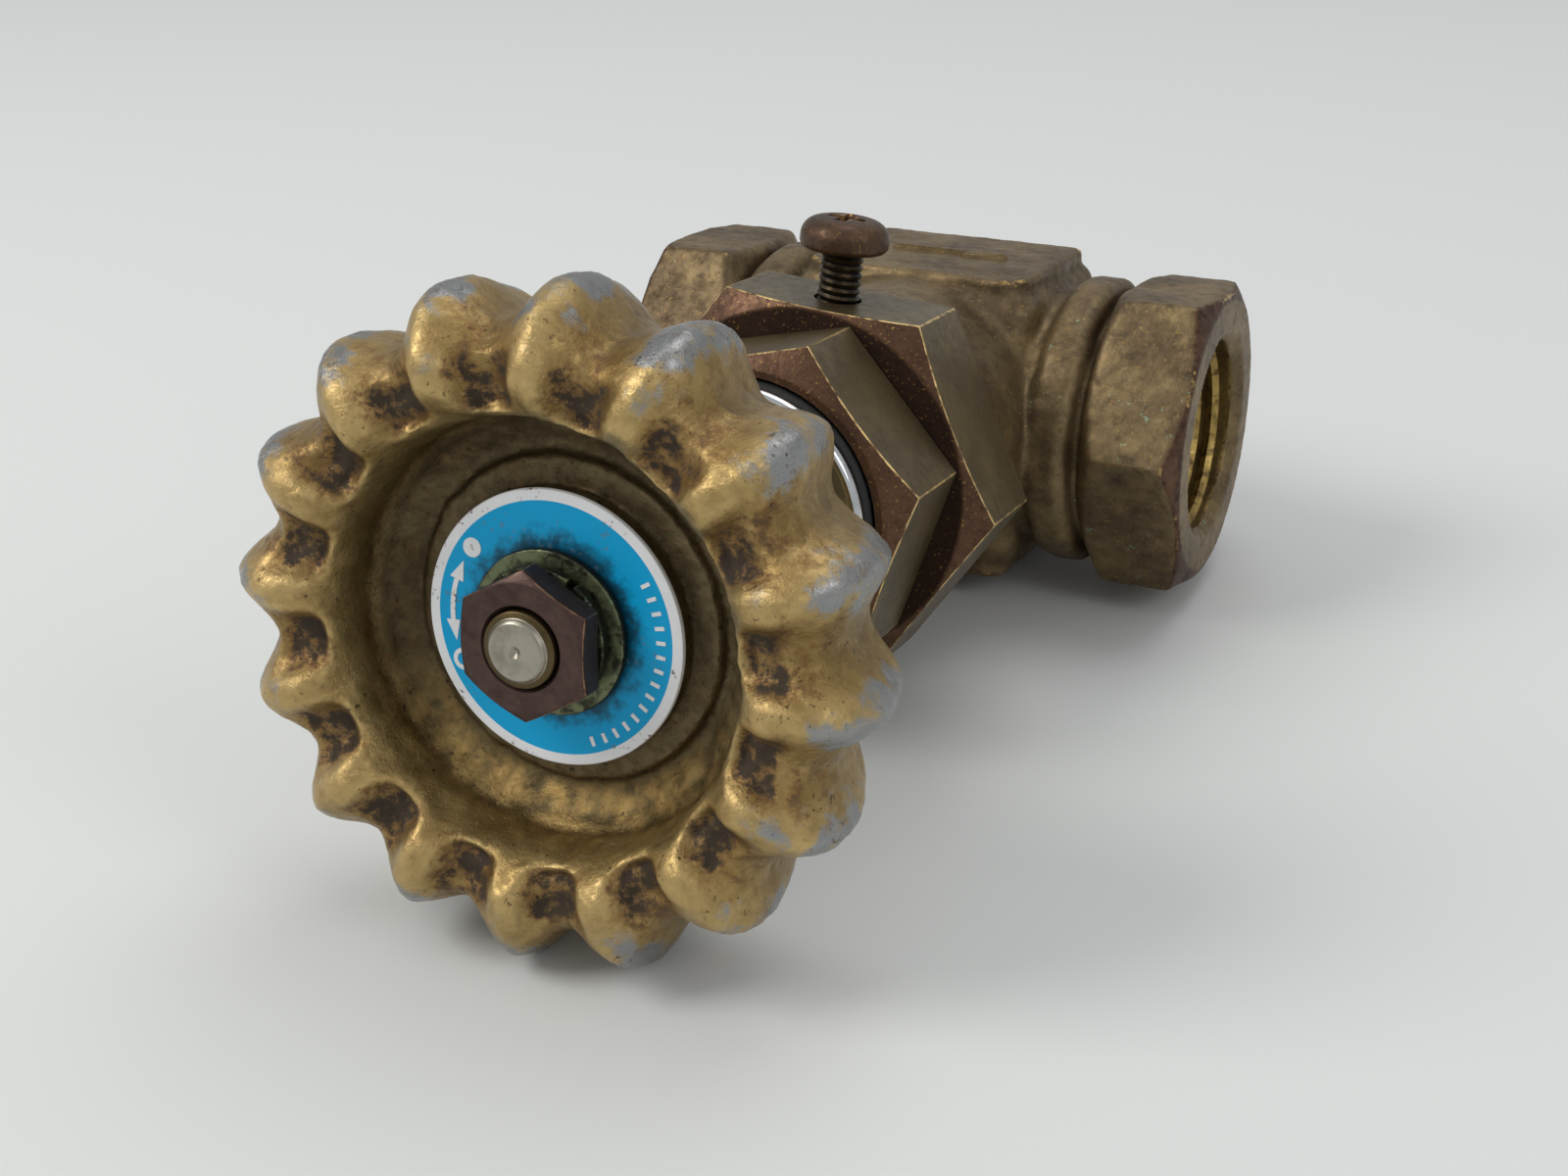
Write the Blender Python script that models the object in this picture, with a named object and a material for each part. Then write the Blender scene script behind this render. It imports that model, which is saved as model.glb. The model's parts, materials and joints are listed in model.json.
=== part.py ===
"""Brass stop valve for a heating circuit: two threaded ports in line, a handwheel, and a stem lock screw.

The valve lies on a bench as it comes to rest, on the rear edge of its lower pad and on the handwheel's rim,
so the stem axis points to -Y and a little up. Sizes are millimetres here, and the mesh builder turns them
to metres.

Three local frames carry every piece. All of them hang on one empty, which tilts and places the whole valve:
  valve frame  X along the run, -Y towards the handwheel, Z up, origin where the run and stem axes cross
  stem frame   Z out along the stem, X along the run, Y up; "station" means a distance along the stem
  lock frame   Z out along the lock screw, origin on the stem axis
"""

import math

import bmesh
import bpy
import numpy as np
from mathutils import Matrix, Vector

MM = 0.001

# ---- fits, mm ----
GAP = 0.3  # between faces that rest on each other
RUNNING = 0.15  # radial, round anything that turns or slides
THREAD_PLAY = 0.3  # radial, between a fixed male thread's crest and its bore
PRESS_PLAY = 0.2  # radial, round a plain piece in its pocket
REACH = 1.0  # how far shapes run into, or past, each other before they are united or cut

# ---- body, mm ----
HALF_LENGTH = 29.2  # run centre to a port's end face
PORT_FLATS = 28.0
PORT_HEX_LENGTH = 9.9
PORT_FACE_INSET = 0.3  # the turned end face is this much smaller than the flats
PORT_THREAD_R = 9.4  # half-inch pipe thread, at its mean
PORT_THREAD_DEPTH = 13.0
PORT_COUNTERSINK = 1.0
PORT_FLOOR_TAPER = 2.5
BARREL_FLATTENING = 0.9  # the collars are this much lower than they are wide
COLLAR_RISE = 1.7  # above the hexagon's flats
COLLAR_WIDTH = 4.1
COLLAR_EDGE = 0.8
GROOVE_DEPTH = 0.6  # below the hexagon's flats
GROOVE_WIDTH = 0.9
SHOULDER_DEPTH = 0.8  # below the hexagon's flats
BLOCK_HALF_LENGTH = 12.5
BLOCK_HALF_HEIGHT = 13.8
BLOCK_REAR = 12.0  # behind the run axis
BLOCK_FRONT = 11.2
BLOCK_EDGE = 2.2
PAD_HALF_LENGTH = 11.5
PAD_RISE = 1.2
PAD_REAR = 11.4
PAD_FRONT = 10.6
PAD_CORNER = 3.0
PAD_EDGE = 0.4
NECK_R = 14.2
NECK_FACE = 24.9  # station of the neck's mouth
CHAMBER_R = 10.0
CHAMBER_TOP = 17.5
PASSAGE_R = 4.2
REAR_POCKET = 8.0
OUTLET_START_Y = -2.5  # the outlet slants forward from its port into the chamber
OUTLET_END_Y = -8.5
INLET_START_Y = 2.0  # the inlet slants back from its port to the pocket behind the seat
INLET_END_Y = 5.5
PASSAGE_SHIFT = 0.5  # both passages start this far along from their port's floor

# ---- seat, mm ----
SEAT = 3.5  # station of the seat lip
SEAT_HOLE_R = 5.0
SEAT_LIP_WIDTH = 1.2
SEAT_LIP_HEIGHT = 0.8

# ---- bonnet, mm ----
GASKET_THICKNESS = 0.8
BONNET_FLATS = 32.0
BONNET_TURN = -4.3  # degrees, how far its hexagon is screwed past square
BONNET_HEX_LENGTH = 10.3
BONNET_FACE_INSET = 0.1
BONNET_THREAD_R = 10.8
BONNET_BOTTOM = 18.0
BONNET_RECESS_R = 8.5
BONNET_RECESS_TOP = 22.6
BOX_R = 7.2  # stuffing box
BOX_DEPTH = 7.6
BOX_WALL = 3.2
BOX_FLOOR_BELOW_FACE = 1.0

# ---- packing and gland, mm ----
PACKING_WASHER_THICKNESS = 0.8
PACKING_RINGS = 3
PACKING_THICKNESS = 1.5
FOLLOWER_SLEEVE = 0.8
FOLLOWER_LEDGE = 2.2  # the flange's reach past the stuffing box
FOLLOWER_FLANGE = 1.0
GLAND_FLATS = 27.0
GLAND_TURN = 12.6  # degrees
GLAND_LENGTH = 10.6
GLAND_FACE_INSET = 0.8
DUST_RECESS_WALL = 0.6
DUST_RECESS_DEPTH = 1.5
DUST_RING_INSET = 0.4
DUST_RING_FLANGE = 1.5
DUST_SEAL_WIDTH = 1.3
DUST_SEAL_HEIGHT = 1.6
DUST_STEP = 0.3
DUST_STEP_WIDTH = 2.0

# ---- stem, mm ----
STEM_PITCH = 1.5
TURNS_TO_SHUT = 2.0
STEM_R = 4.0
STEM_THREAD_R = 5.0
STEM_THREAD_START = 19.0
STEM_THREAD_LENGTH = 11.5
STEM_HEAD_R = 4.1
STEM_HEAD_LENGTH = 2.4
STEM_NECK_R = 2.9
STEM_SHOULDER = 69.8
STEM_SQUARE = 5.6
STEM_SQUARE_LENGTH = 6.8
STEM_TAIL = 15.3  # shoulder to tip
WHEEL_THREAD_R = 2.9

# ---- disc, mm ----
DISC_R = 6.9
DISC_THICKNESS = 2.7
DISC_WALL = 1.0
DISC_FLOOR = 1.9
DISC_WALL_RISE = 0.8  # the rubber face stands this far out of its cup
DISC_STUD_R = 1.7
DISC_STUD_BELOW = 4.2
DISC_WASHER_R = 4.0
DISC_WASHER_THICKNESS = 0.6
DISC_NUT_FLATS = 6.6
DISC_NUT_HEIGHT = 2.2
DISC_NUT_FACE_INSET = 0.1
RETAINER_THICKNESS = 1.8
RETAINER_LEDGE = 1.6
HOLDER_RIM_RISE = 0.4  # above the retainer
HOLDER_EDGE = 0.6

# ---- handwheel and its fixings, mm ----
LOBES = 16
LOBE_PHASE = 19.5  # degrees
WHEEL_R = 26.2
LOBE_DEPTH = 2.8
RIM_DEPTH = 16.2
RIM_WIDEST_UP = 9.7  # from the rim's rear edge
RIM_OUTER_WIDTH = 6.2
RIM_INNER_WIDTH = 3.8
WHEEL_HUB_R = 8.5
WEB_THICKNESS = 4.6
WEB_EDGE = 1.5  # where the web meets the rim, inside the rim's inner edge
HUB_DRAFT = 0.5
DISH_STEP = 1.0
DISH_DRAFT = 0.7
DISH_WIDTH = 3.1
HUB_RING_UP = 7.8  # from the rim's rear edge
HUB_RING_WIDTH = 2.8
LABEL_BOSS_HEIGHT = 1.5
LABEL_OVERHANG = 0.2
LABEL_THICKNESS = 0.5
BOLT_HOLE_R = 3.3
WASHER_R = 6.3
WASHER_THICKNESS = 0.7
SPRING_WASHER_R = 5.3
SPRING_WASHER_THICKNESS = 0.8
WHEEL_NUT_FLATS = 10.0
WHEEL_NUT_HEIGHT = 2.3
WHEEL_NUT_FACE_INSET = 0.15
WHEEL_NUT_TURN = 0.9  # degrees

# ---- lock screw, mm ----
LOCK_THREAD_R = 1.95
LOCK_PROUD = 4.5  # thread left showing above the bonnet's flat
LOCK_HEAD_R = 3.95
LOCK_HEAD_HEIGHT = 2.8
LOCK_DOME_WIDTH = 1.5
LOCK_DOME_HEIGHT = 1.7
LOCK_RECESS_WIDTH = 1.0
LOCK_RECESS_SPAN = 4.4
LOCK_RECESS_DEPTH = 1.7
LOCK_PAD_R = 1.85
LOCK_PAD_LENGTH = 3.0
LOCK_PAD_TO_STEM = 2.2  # clear of the stem's thread until the screw is driven in

# ---- how finely round pieces are cut ----
COARSE = 24
ROUND = 32
LOBE_STEPS = 5  # columns for each lobe of the handwheel

# ---- stations and radii that follow ----
COLLAR_R = PORT_FLATS / 2 + COLLAR_RISE
GROOVE_R = PORT_FLATS / 2 - GROOVE_DEPTH
SHOULDER_R = PORT_FLATS / 2 - SHOULDER_DEPTH
GASKET_BOTTOM = NECK_FACE + GAP
BONNET_SEAT = GASKET_BOTTOM + GASKET_THICKNESS + GAP
BONNET_FACE = BONNET_SEAT + BONNET_HEX_LENGTH
BOX_FLOOR = BONNET_FACE - BOX_FLOOR_BELOW_FACE
BOX_TOP = BOX_FLOOR + BOX_DEPTH
BOSS_R = BOX_R + BOX_WALL
GLAND_REAR = BONNET_FACE + GAP
GLAND_FACE = GLAND_REAR + GLAND_LENGTH
GLAND_FACE_R = GLAND_FLATS / 2 - GLAND_FACE_INSET
DUST_RECESS_FLOOR = GLAND_FACE - DUST_RECESS_DEPTH
DUST_RECESS_R = GLAND_FACE_R - DUST_RECESS_WALL
DUST_RING_R = DUST_RECESS_R - DUST_RING_INSET
STEM_BORE_R = STEM_R + RUNNING
BODY_THREAD_R = BONNET_THREAD_R + THREAD_PLAY
SHUT_DROP = TURNS_TO_SHUT * STEM_PITCH
DISC_FACE = SEAT + GAP + SHUT_DROP
HOLDER_FLOOR = DISC_FACE + DISC_THICKNESS + GAP
HEAD_BOTTOM = HOLDER_FLOOR + DISC_FLOOR + GAP
HEAD_TOP = HEAD_BOTTOM + STEM_HEAD_LENGTH
HOLDER_R = DISC_R + GAP + DISC_WALL
STEM_TIP = STEM_SHOULDER + STEM_TAIL
WHEEL_REAR = STEM_SHOULDER
WHEEL_CREST = WHEEL_REAR + RIM_DEPTH
RIM_WIDEST = WHEEL_REAR + RIM_WIDEST_UP
RIM_CREST_R = WHEEL_R - RIM_OUTER_WIDTH
RIM_INNER_R = RIM_CREST_R - RIM_INNER_WIDTH
HUB_RING_R = RIM_INNER_R - DISH_WIDTH
HUB_RING_FACE = WHEEL_REAR + HUB_RING_UP
LABEL_BOSS_R = HUB_RING_R - HUB_RING_WIDTH
LABEL_R = LABEL_BOSS_R + LABEL_OVERHANG
LABEL_SEAT = HUB_RING_FACE + LABEL_BOSS_HEIGHT
LOCK_STATION = (BONNET_SEAT + BONNET_FACE) / 2
LOCK_TURN = 90.0 + BONNET_TURN
LOCK_TIP = STEM_THREAD_R + LOCK_PAD_TO_STEM + LOCK_PAD_LENGTH + GAP
LOCK_HEAD = BONNET_FLATS / 2 + LOCK_PROUD


# ---- materials ----


def material(name, colour, metallic, roughness):
    """A Principled material; the colour is linear RGB."""
    made = bpy.data.materials.new(name)
    made.use_nodes = True
    shader = made.node_tree.nodes["Principled BSDF"]
    shader.inputs["Base Color"].default_value = (*colour, 1.0)
    shader.inputs["Metallic"].default_value = metallic
    shader.inputs["Roughness"].default_value = roughness
    made.diffuse_color = (*colour, 1.0)
    return made


def make_materials():
    return {
        "forged_brass": material("forged_brass", (0.16, 0.11, 0.055), 1.0, 0.5),
        "machined_brass": material("machined_brass", (0.14, 0.085, 0.05), 1.0, 0.4),
        "gold_zinc": material("gold_zinc", (0.40, 0.26, 0.08), 0.7, 0.45),
        "polished_steel": material("polished_steel", (0.75, 0.75, 0.76), 1.0, 0.08),
        "turned_steel": material("turned_steel", (0.50, 0.48, 0.42), 1.0, 0.35),
        "bronzed_steel": material("bronzed_steel", (0.09, 0.045, 0.035), 0.9, 0.45),
        "dark_steel": material("dark_steel", (0.04, 0.042, 0.028), 0.9, 0.5),
        "printed_blue": material("printed_blue", (0.005, 0.26, 0.51), 0.0, 0.35),
        "black_rubber": material("black_rubber", (0.012, 0.012, 0.012), 0.0, 0.7),
        "packing_fibre": material("packing_fibre", (0.05, 0.05, 0.052), 0.0, 0.8),
        "white_ptfe": material("white_ptfe", (0.8, 0.8, 0.78), 0.0, 0.5),
        "copper": material("copper", (0.45, 0.16, 0.08), 1.0, 0.35),
    }


# ---- mesh builders; every profile is a list of (radius, height) round a local Z axis, mm ----


def mesh_object(name, mesh, parent, finish):
    """One object of a bmesh drawn in millimetres. Without a finish it is a cutter, and hides."""
    bmesh.ops.transform(mesh, matrix=Matrix.Scale(MM, 4), verts=mesh.verts)
    bmesh.ops.recalc_face_normals(mesh, faces=mesh.faces)
    data = bpy.data.meshes.new(name)
    mesh.to_mesh(data)
    mesh.free()
    data.shade_smooth()
    data.set_sharp_from_angle(angle=math.radians(30))
    made = bpy.data.objects.new(name, data)
    bpy.context.scene.collection.objects.link(made)
    made.parent = parent
    if finish is None:
        made.hide_render = True
        made.display_type = "WIRE"
    else:
        data.materials.append(finish)
    return made


def turned(name, profile, parent, finish=None, steps=ROUND, radius_at=None):
    """A solid turned round Z. The profile closes on itself, or on the axis where both its ends lie there.

    radius_at(radius, height, angle), where it is given, gives back a point's own (radius, height).
    """
    mesh = bmesh.new()
    columns = []
    on_axis = {}
    for step in range(steps):
        angle = 2 * math.pi * step / steps
        column = []
        for index, (radius, height) in enumerate(profile):
            if radius == 0:
                if index not in on_axis:
                    on_axis[index] = mesh.verts.new((0, 0, height))
                column.append(on_axis[index])
                continue
            if radius_at:
                radius, height = radius_at(radius, height, angle)
            column.append(mesh.verts.new((radius * math.cos(angle), radius * math.sin(angle), height)))
        columns.append(column)
    edges = list(zip(range(len(profile)), range(1, len(profile))))
    if not on_axis:
        edges.append((len(profile) - 1, 0))
    for step in range(steps):
        here, there = columns[step], columns[(step + 1) % steps]
        for low, high in edges:
            corners = [here[low], there[low], there[high], here[high]]
            mesh.faces.new(list(dict.fromkeys(corners)))
    return mesh_object(name, mesh, parent, finish)


def ring(name, inner, outer, low, high, parent, finish, steps=ROUND):
    return turned(name, [(inner, low), (outer, low), (outer, high), (inner, high)], parent, finish, steps)


def rod(name, radius, low, high, parent, finish=None, steps=ROUND):
    return turned(name, [(0, low), (radius, low), (radius, high), (0, high)], parent, finish, steps)


def hexagon(name, flats, low, high, turn, parent):
    """A hexagonal prism along Z, a helper. At turn 0 two of its flats face +Y and -Y."""
    mesh = bmesh.new()
    corner_r = flats / math.sqrt(3)
    corners = [math.radians(turn + 60 * k) for k in range(6)]
    rings = []
    for height in (low, high):
        outline = [(corner_r * math.cos(a), corner_r * math.sin(a), height) for a in corners]
        rings.append([mesh.verts.new(point) for point in outline])
    for k in range(6):
        after = (k + 1) % 6
        mesh.faces.new((rings[0][k], rings[0][after], rings[1][after], rings[1][k]))
    mesh.faces.new(rings[0][::-1])
    mesh.faces.new(rings[1])
    return mesh_object(name, mesh, parent, None)


def box(name, low, high, parent, finish=None, upright_bevel=0.0, bevel=0.0):
    """A box between two corners, its upright edges and then all its edges rounded off."""
    mesh = bmesh.new()
    bmesh.ops.create_cube(mesh, size=1)
    low, high = Vector(low), Vector(high)
    for vert in mesh.verts:
        vert.co = Vector((a + (b - a) * (c + 0.5) for a, b, c in zip(low, high, vert.co)))
    if upright_bevel:
        upright = [e for e in mesh.edges if abs(e.verts[0].co.z - e.verts[1].co.z) > bevel]
        bmesh.ops.bevel(mesh, geom=upright, offset=upright_bevel, segments=2, affect="EDGES", profile=0.5)
    if bevel:
        bmesh.ops.bevel(mesh, geom=list(mesh.edges), offset=bevel, segments=2, affect="EDGES", profile=0.5)
    return mesh_object(name, mesh, parent, finish)


def apply_boolean(target, operation, other):
    modifier = target.modifiers.new(f"{operation.lower()}_{other.name}", "BOOLEAN")
    modifier.operation = operation
    modifier.solver = "EXACT"
    modifier.object = other
    other.hide_render = True
    other.display_type = "WIRE"


def cut(target, *cutters):
    for cutter in cutters:
        apply_boolean(target, "DIFFERENCE", cutter)


def unite(target, *others):
    for other in others:
        apply_boolean(target, "UNION", other)


def empty(name, parent=None, place=None):
    made = bpy.data.objects.new(name, None)
    bpy.context.scene.collection.objects.link(made)
    made.parent = parent
    made.empty_display_size = 10 * MM
    made.matrix_local = place or Matrix.Identity(4)
    return made


def chamfered_hex(name, flats, low, high, turn, parent, finish, low_face=None, high_face=None):
    """A hexagon whose ends are turned back to the face radii given, at 30 degrees."""
    corner = flats / math.sqrt(3)
    slope = math.tan(math.radians(30))
    over = corner + REACH
    low_r = low_face or over
    high_r = high_face or over
    blank = turned(
        name,
        [
            (0, low),
            (low_r, low),
            (over, low + (over - low_r) * slope),
            (over, high - (over - high_r) * slope),
            (high_r, high),
            (0, high),
        ],
        parent,
        finish,
    )
    stock = hexagon(name + "_stock", flats, low - REACH, high + REACH, turn, parent)
    apply_boolean(blank, "INTERSECT", stock)
    return blank


# ---- body ----


def port_hex(name, frame):
    """One port's hexagon, drawn out along the frame's Z from the groove to the end face."""
    face_r = PORT_FLATS / 2 - PORT_FACE_INSET
    low = HALF_LENGTH - PORT_HEX_LENGTH
    return chamfered_hex(name, PORT_FLATS, low, HALF_LENGTH, 30, frame, None, face_r, face_r)


def port_bore(name, frame):
    end = HALF_LENGTH - PORT_THREAD_DEPTH
    mouth_r = PORT_THREAD_R + PORT_COUNTERSINK
    return turned(
        name,
        [
            (0, end - PORT_FLOOR_TAPER),
            (PORT_THREAD_R - PORT_FLOOR_TAPER, end - PORT_FLOOR_TAPER),
            (PORT_THREAD_R, end),
            (PORT_THREAD_R, HALF_LENGTH - PORT_COUNTERSINK),
            (mouth_r, HALF_LENGTH),
            (mouth_r, HALF_LENGTH + REACH),
            (0, HALF_LENGTH + REACH),
        ],
        frame,
    )


def flattened(radius, height, angle):
    """A circle drawn in to an ellipse, lower than it is wide; the port frames' X is the valve's height."""
    return radius / math.hypot(math.cos(angle) / BARREL_FLATTENING, math.sin(angle)), height


def run_barrel(frame):
    """The round stretch between the two hexagons, with its two collars and grooves."""
    groove_out = HALF_LENGTH - PORT_HEX_LENGTH + REACH
    collar_out = groove_out - REACH - GROOVE_WIDTH
    collar_in = collar_out - COLLAR_WIDTH
    half = [
        (SHOULDER_R, collar_in - COLLAR_EDGE),
        (COLLAR_R - COLLAR_EDGE, collar_in),
        (COLLAR_R, collar_in + COLLAR_EDGE),
        (COLLAR_R, collar_out - COLLAR_EDGE),
        (COLLAR_R - COLLAR_EDGE, collar_out - COLLAR_EDGE / 2),
        (GROOVE_R, collar_out),
        (GROOVE_R, groove_out),
        (0, groove_out),
    ]
    mirrored = [(radius, -height) for radius, height in reversed(half)]
    return turned("run_barrel", mirrored + half, frame, radius_at=flattened)


def passage(name, start, end, frame):
    """A drilled way between two points of the valve frame, given as (x, y)."""
    start, end = Vector((*start, 0)), Vector((*end, 0))
    direction = end - start
    turn = direction.to_track_quat("Z", "Y").to_matrix().to_4x4()
    place = Matrix.Translation(start * MM) @ turn
    return rod(name, PASSAGE_R, 0, direction.length, empty(name + "_frame", frame, place), steps=COARSE)


def chamber(frame):
    """The hollow for the disc and the bonnet's thread, above the raised seat lip."""
    lip_r = SEAT_HOLE_R + SEAT_LIP_WIDTH
    deck = SEAT - SEAT_LIP_HEIGHT
    return turned(
        "chamber",
        [
            (0, -REAR_POCKET),
            (SEAT_HOLE_R, -REAR_POCKET),
            (SEAT_HOLE_R, SEAT),
            (lip_r, SEAT),
            (lip_r, deck),
            (CHAMBER_R, deck),
            (CHAMBER_R, CHAMBER_TOP),
            (BODY_THREAD_R, CHAMBER_TOP),
            (BODY_THREAD_R, NECK_FACE + REACH),
            (0, NECK_FACE + REACH),
        ],
        frame,
    )


def make_body(frames, finish):
    valve, stem, right, left = (frames[key] for key in ("valve", "stem", "right", "left"))
    body = box(
        "valve_body",
        (-BLOCK_HALF_LENGTH, -BLOCK_FRONT, -BLOCK_HALF_HEIGHT),
        (BLOCK_HALF_LENGTH, BLOCK_REAR, BLOCK_HALF_HEIGHT),
        valve,
        finish["forged_brass"],
        bevel=BLOCK_EDGE,
    )
    pad_top = BLOCK_HALF_HEIGHT + PAD_RISE
    pads = box(
        "pads",
        (-PAD_HALF_LENGTH, -PAD_FRONT, -pad_top),
        (PAD_HALF_LENGTH, PAD_REAR, pad_top),
        valve,
        upright_bevel=PAD_CORNER,
        bevel=PAD_EDGE,
    )
    neck = rod("neck", NECK_R, 0, NECK_FACE, stem)
    unite(body, pads, neck, run_barrel(right), port_hex("right_hex", right), port_hex("left_hex", left))
    floor_x = HALF_LENGTH - PORT_THREAD_DEPTH
    cut(body, chamber(stem), port_bore("right_bore", right), port_bore("left_bore", left))
    outlet_start = (floor_x + PASSAGE_SHIFT, OUTLET_START_Y)
    cut(body, passage("outlet", outlet_start, (CHAMBER_R - 2 * REACH, OUTLET_END_Y), valve))
    inlet_start = (-floor_x + PASSAGE_SHIFT, INLET_START_Y)
    cut(body, passage("inlet", inlet_start, (0, INLET_END_Y), valve))
    return body


# ---- bonnet, gland and packing ----


def make_bonnet(frames, finish):
    stem = frames["stem"]
    lip = 0.6
    bonnet = chamfered_hex(
        "bonnet",
        BONNET_FLATS,
        BONNET_SEAT,
        BONNET_FACE,
        BONNET_TURN,
        stem,
        finish["machined_brass"],
        high_face=BONNET_FLATS / 2 - BONNET_FACE_INSET,
    )
    spigot = turned(
        "spigot",
        [
            (0, BONNET_BOTTOM),
            (BONNET_THREAD_R - lip, BONNET_BOTTOM),
            (BONNET_THREAD_R, BONNET_BOTTOM + lip),
            (BONNET_THREAD_R, BONNET_SEAT + REACH),
            (0, BONNET_SEAT + REACH),
        ],
        stem,
    )
    boss = rod("boss", BOSS_R, BONNET_FACE - REACH, BOX_TOP, stem)
    thread_bore = STEM_THREAD_R + RUNNING
    bore = turned(
        "bonnet_bore",
        [
            (0, BONNET_BOTTOM - REACH),
            (BONNET_RECESS_R, BONNET_BOTTOM - REACH),
            (BONNET_RECESS_R, BONNET_RECESS_TOP),
            (thread_bore, BONNET_RECESS_TOP),
            (thread_bore, BOX_FLOOR),
            (BOX_R, BOX_FLOOR),
            (BOX_R, BOX_TOP + REACH),
            (0, BOX_TOP + REACH),
        ],
        stem,
    )
    unite(bonnet, spigot, boss)
    hole_top = BONNET_FLATS / 2 + REACH
    hole = rod("lock_hole", LOCK_THREAD_R + PRESS_PLAY, 0, hole_top, frames["lock"], steps=COARSE)
    cut(bonnet, bore, hole)
    gasket_top = BONNET_SEAT - GAP
    gasket_r = NECK_R - PRESS_PLAY
    ring("bonnet_gasket", BODY_THREAD_R, gasket_r, GASKET_BOTTOM, gasket_top, stem, finish["copper"])
    return bonnet


def make_packing(frames, finish):
    """The washer, the rings and the gland follower, stacked up the stuffing box."""
    stem = frames["stem"]
    outer = BOX_R - PRESS_PLAY
    flange_r = BOX_R + FOLLOWER_LEDGE
    low = BOX_FLOOR + GAP
    high = low + PACKING_WASHER_THICKNESS
    ring("packing_washer", STEM_BORE_R, outer, low, high, stem, finish["forged_brass"], COARSE)
    for index in range(PACKING_RINGS):
        low = high + GAP
        high = low + PACKING_THICKNESS
        name = f"packing_ring_{index + 1}"
        ring(name, STEM_BORE_R, outer, low, high, stem, finish["packing_fibre"], COARSE)
    low = high + GAP
    shoulder = max(low + FOLLOWER_SLEEVE, BOX_TOP + GAP)
    top = shoulder + FOLLOWER_FLANGE
    profile = [
        (STEM_BORE_R, low),
        (outer, low),
        (outer, shoulder),
        (flange_r, shoulder),
        (flange_r, top),
        (STEM_BORE_R, top),
    ]
    turned("gland_follower", profile, stem, finish["forged_brass"])
    return top


def make_gland(frames, finish, follower_top):
    stem = frames["stem"]
    gland = chamfered_hex(
        "gland_nut",
        GLAND_FLATS,
        GLAND_REAR,
        GLAND_FACE,
        GLAND_TURN,
        stem,
        finish["machined_brass"],
        high_face=GLAND_FACE_R,
    )
    thread_bore = BOSS_R + THREAD_PLAY
    inside_top = follower_top + GAP
    hole_r = STEM_R + 2 * RUNNING
    bore = turned(
        "gland_bore",
        [
            (0, GLAND_REAR - REACH),
            (thread_bore, GLAND_REAR - REACH),
            (thread_bore, inside_top),
            (hole_r, inside_top),
            (hole_r, DUST_RECESS_FLOOR),
            (DUST_RECESS_R, DUST_RECESS_FLOOR),
            (DUST_RECESS_R, GLAND_FACE + REACH),
            (0, GLAND_FACE + REACH),
        ],
        stem,
    )
    cut(gland, bore)
    make_dust_ring(stem, finish)
    return gland


def make_dust_ring(stem, finish):
    """A polished ring round the stem on the gland, and the rubber seal under its flange."""
    low = DUST_RECESS_FLOOR + GAP
    seal_outer = DUST_RECESS_R - GAP
    seal_inner = seal_outer - DUST_SEAL_WIDTH
    seal_top = low + DUST_SEAL_HEIGHT
    ring("dust_seal", seal_inner, seal_outer, low, seal_top, stem, finish["black_rubber"])
    inner = STEM_R + 2 * RUNNING
    spigot_r = seal_inner - GAP
    flange = seal_top + GAP
    top = flange + DUST_RING_FLANGE
    edge = DUST_RING_FLANGE / 2
    rounded = []
    for k in range(4):
        angle = math.radians(30 * k)
        rounded.append((DUST_RING_R - edge + edge * math.cos(angle), top - edge + edge * math.sin(angle)))
    profile = [(inner, low), (spigot_r, low), (spigot_r, flange), (DUST_RING_R, flange)]
    step_r = STEM_R + DUST_STEP_WIDTH
    step = [(step_r, top), (step_r - DUST_STEP, top - DUST_STEP), (inner, top - DUST_STEP)]
    turned("dust_ring", profile + rounded + step, stem, finish["polished_steel"])


# ---- stem and disc ----


def make_stem(frames, finish):
    thread_top = STEM_THREAD_START + STEM_THREAD_LENGTH
    lip = 0.5
    square_top = STEM_SHOULDER + STEM_SQUARE_LENGTH
    root_r = WHEEL_THREAD_R - PRESS_PLAY
    stem = turned(
        "stem",
        [
            (0, HEAD_BOTTOM),
            (STEM_HEAD_R - lip, HEAD_BOTTOM),
            (STEM_HEAD_R, HEAD_BOTTOM + lip),
            (STEM_HEAD_R, HEAD_TOP),
            (STEM_NECK_R, HEAD_TOP),
            (STEM_NECK_R, STEM_THREAD_START - REACH),
            (STEM_THREAD_R, STEM_THREAD_START),
            (STEM_THREAD_R, thread_top),
            (STEM_R, thread_top + REACH),
            (STEM_R, STEM_SHOULDER),
            (root_r, STEM_SHOULDER),
            (root_r, square_top + lip),
            (WHEEL_THREAD_R, square_top + lip + PRESS_PLAY),
            (WHEEL_THREAD_R, STEM_TIP - lip),
            (WHEEL_THREAD_R - lip, STEM_TIP),
            (0, STEM_TIP),
        ],
        frames["spindle"],
        finish["turned_steel"],
    )
    half = STEM_SQUARE / 2
    square = box(
        "stem_square",
        (-half, -half, STEM_SHOULDER - REACH),
        (half, half, square_top),
        frames["spindle"],
    )
    unite(stem, square)
    return stem


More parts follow.
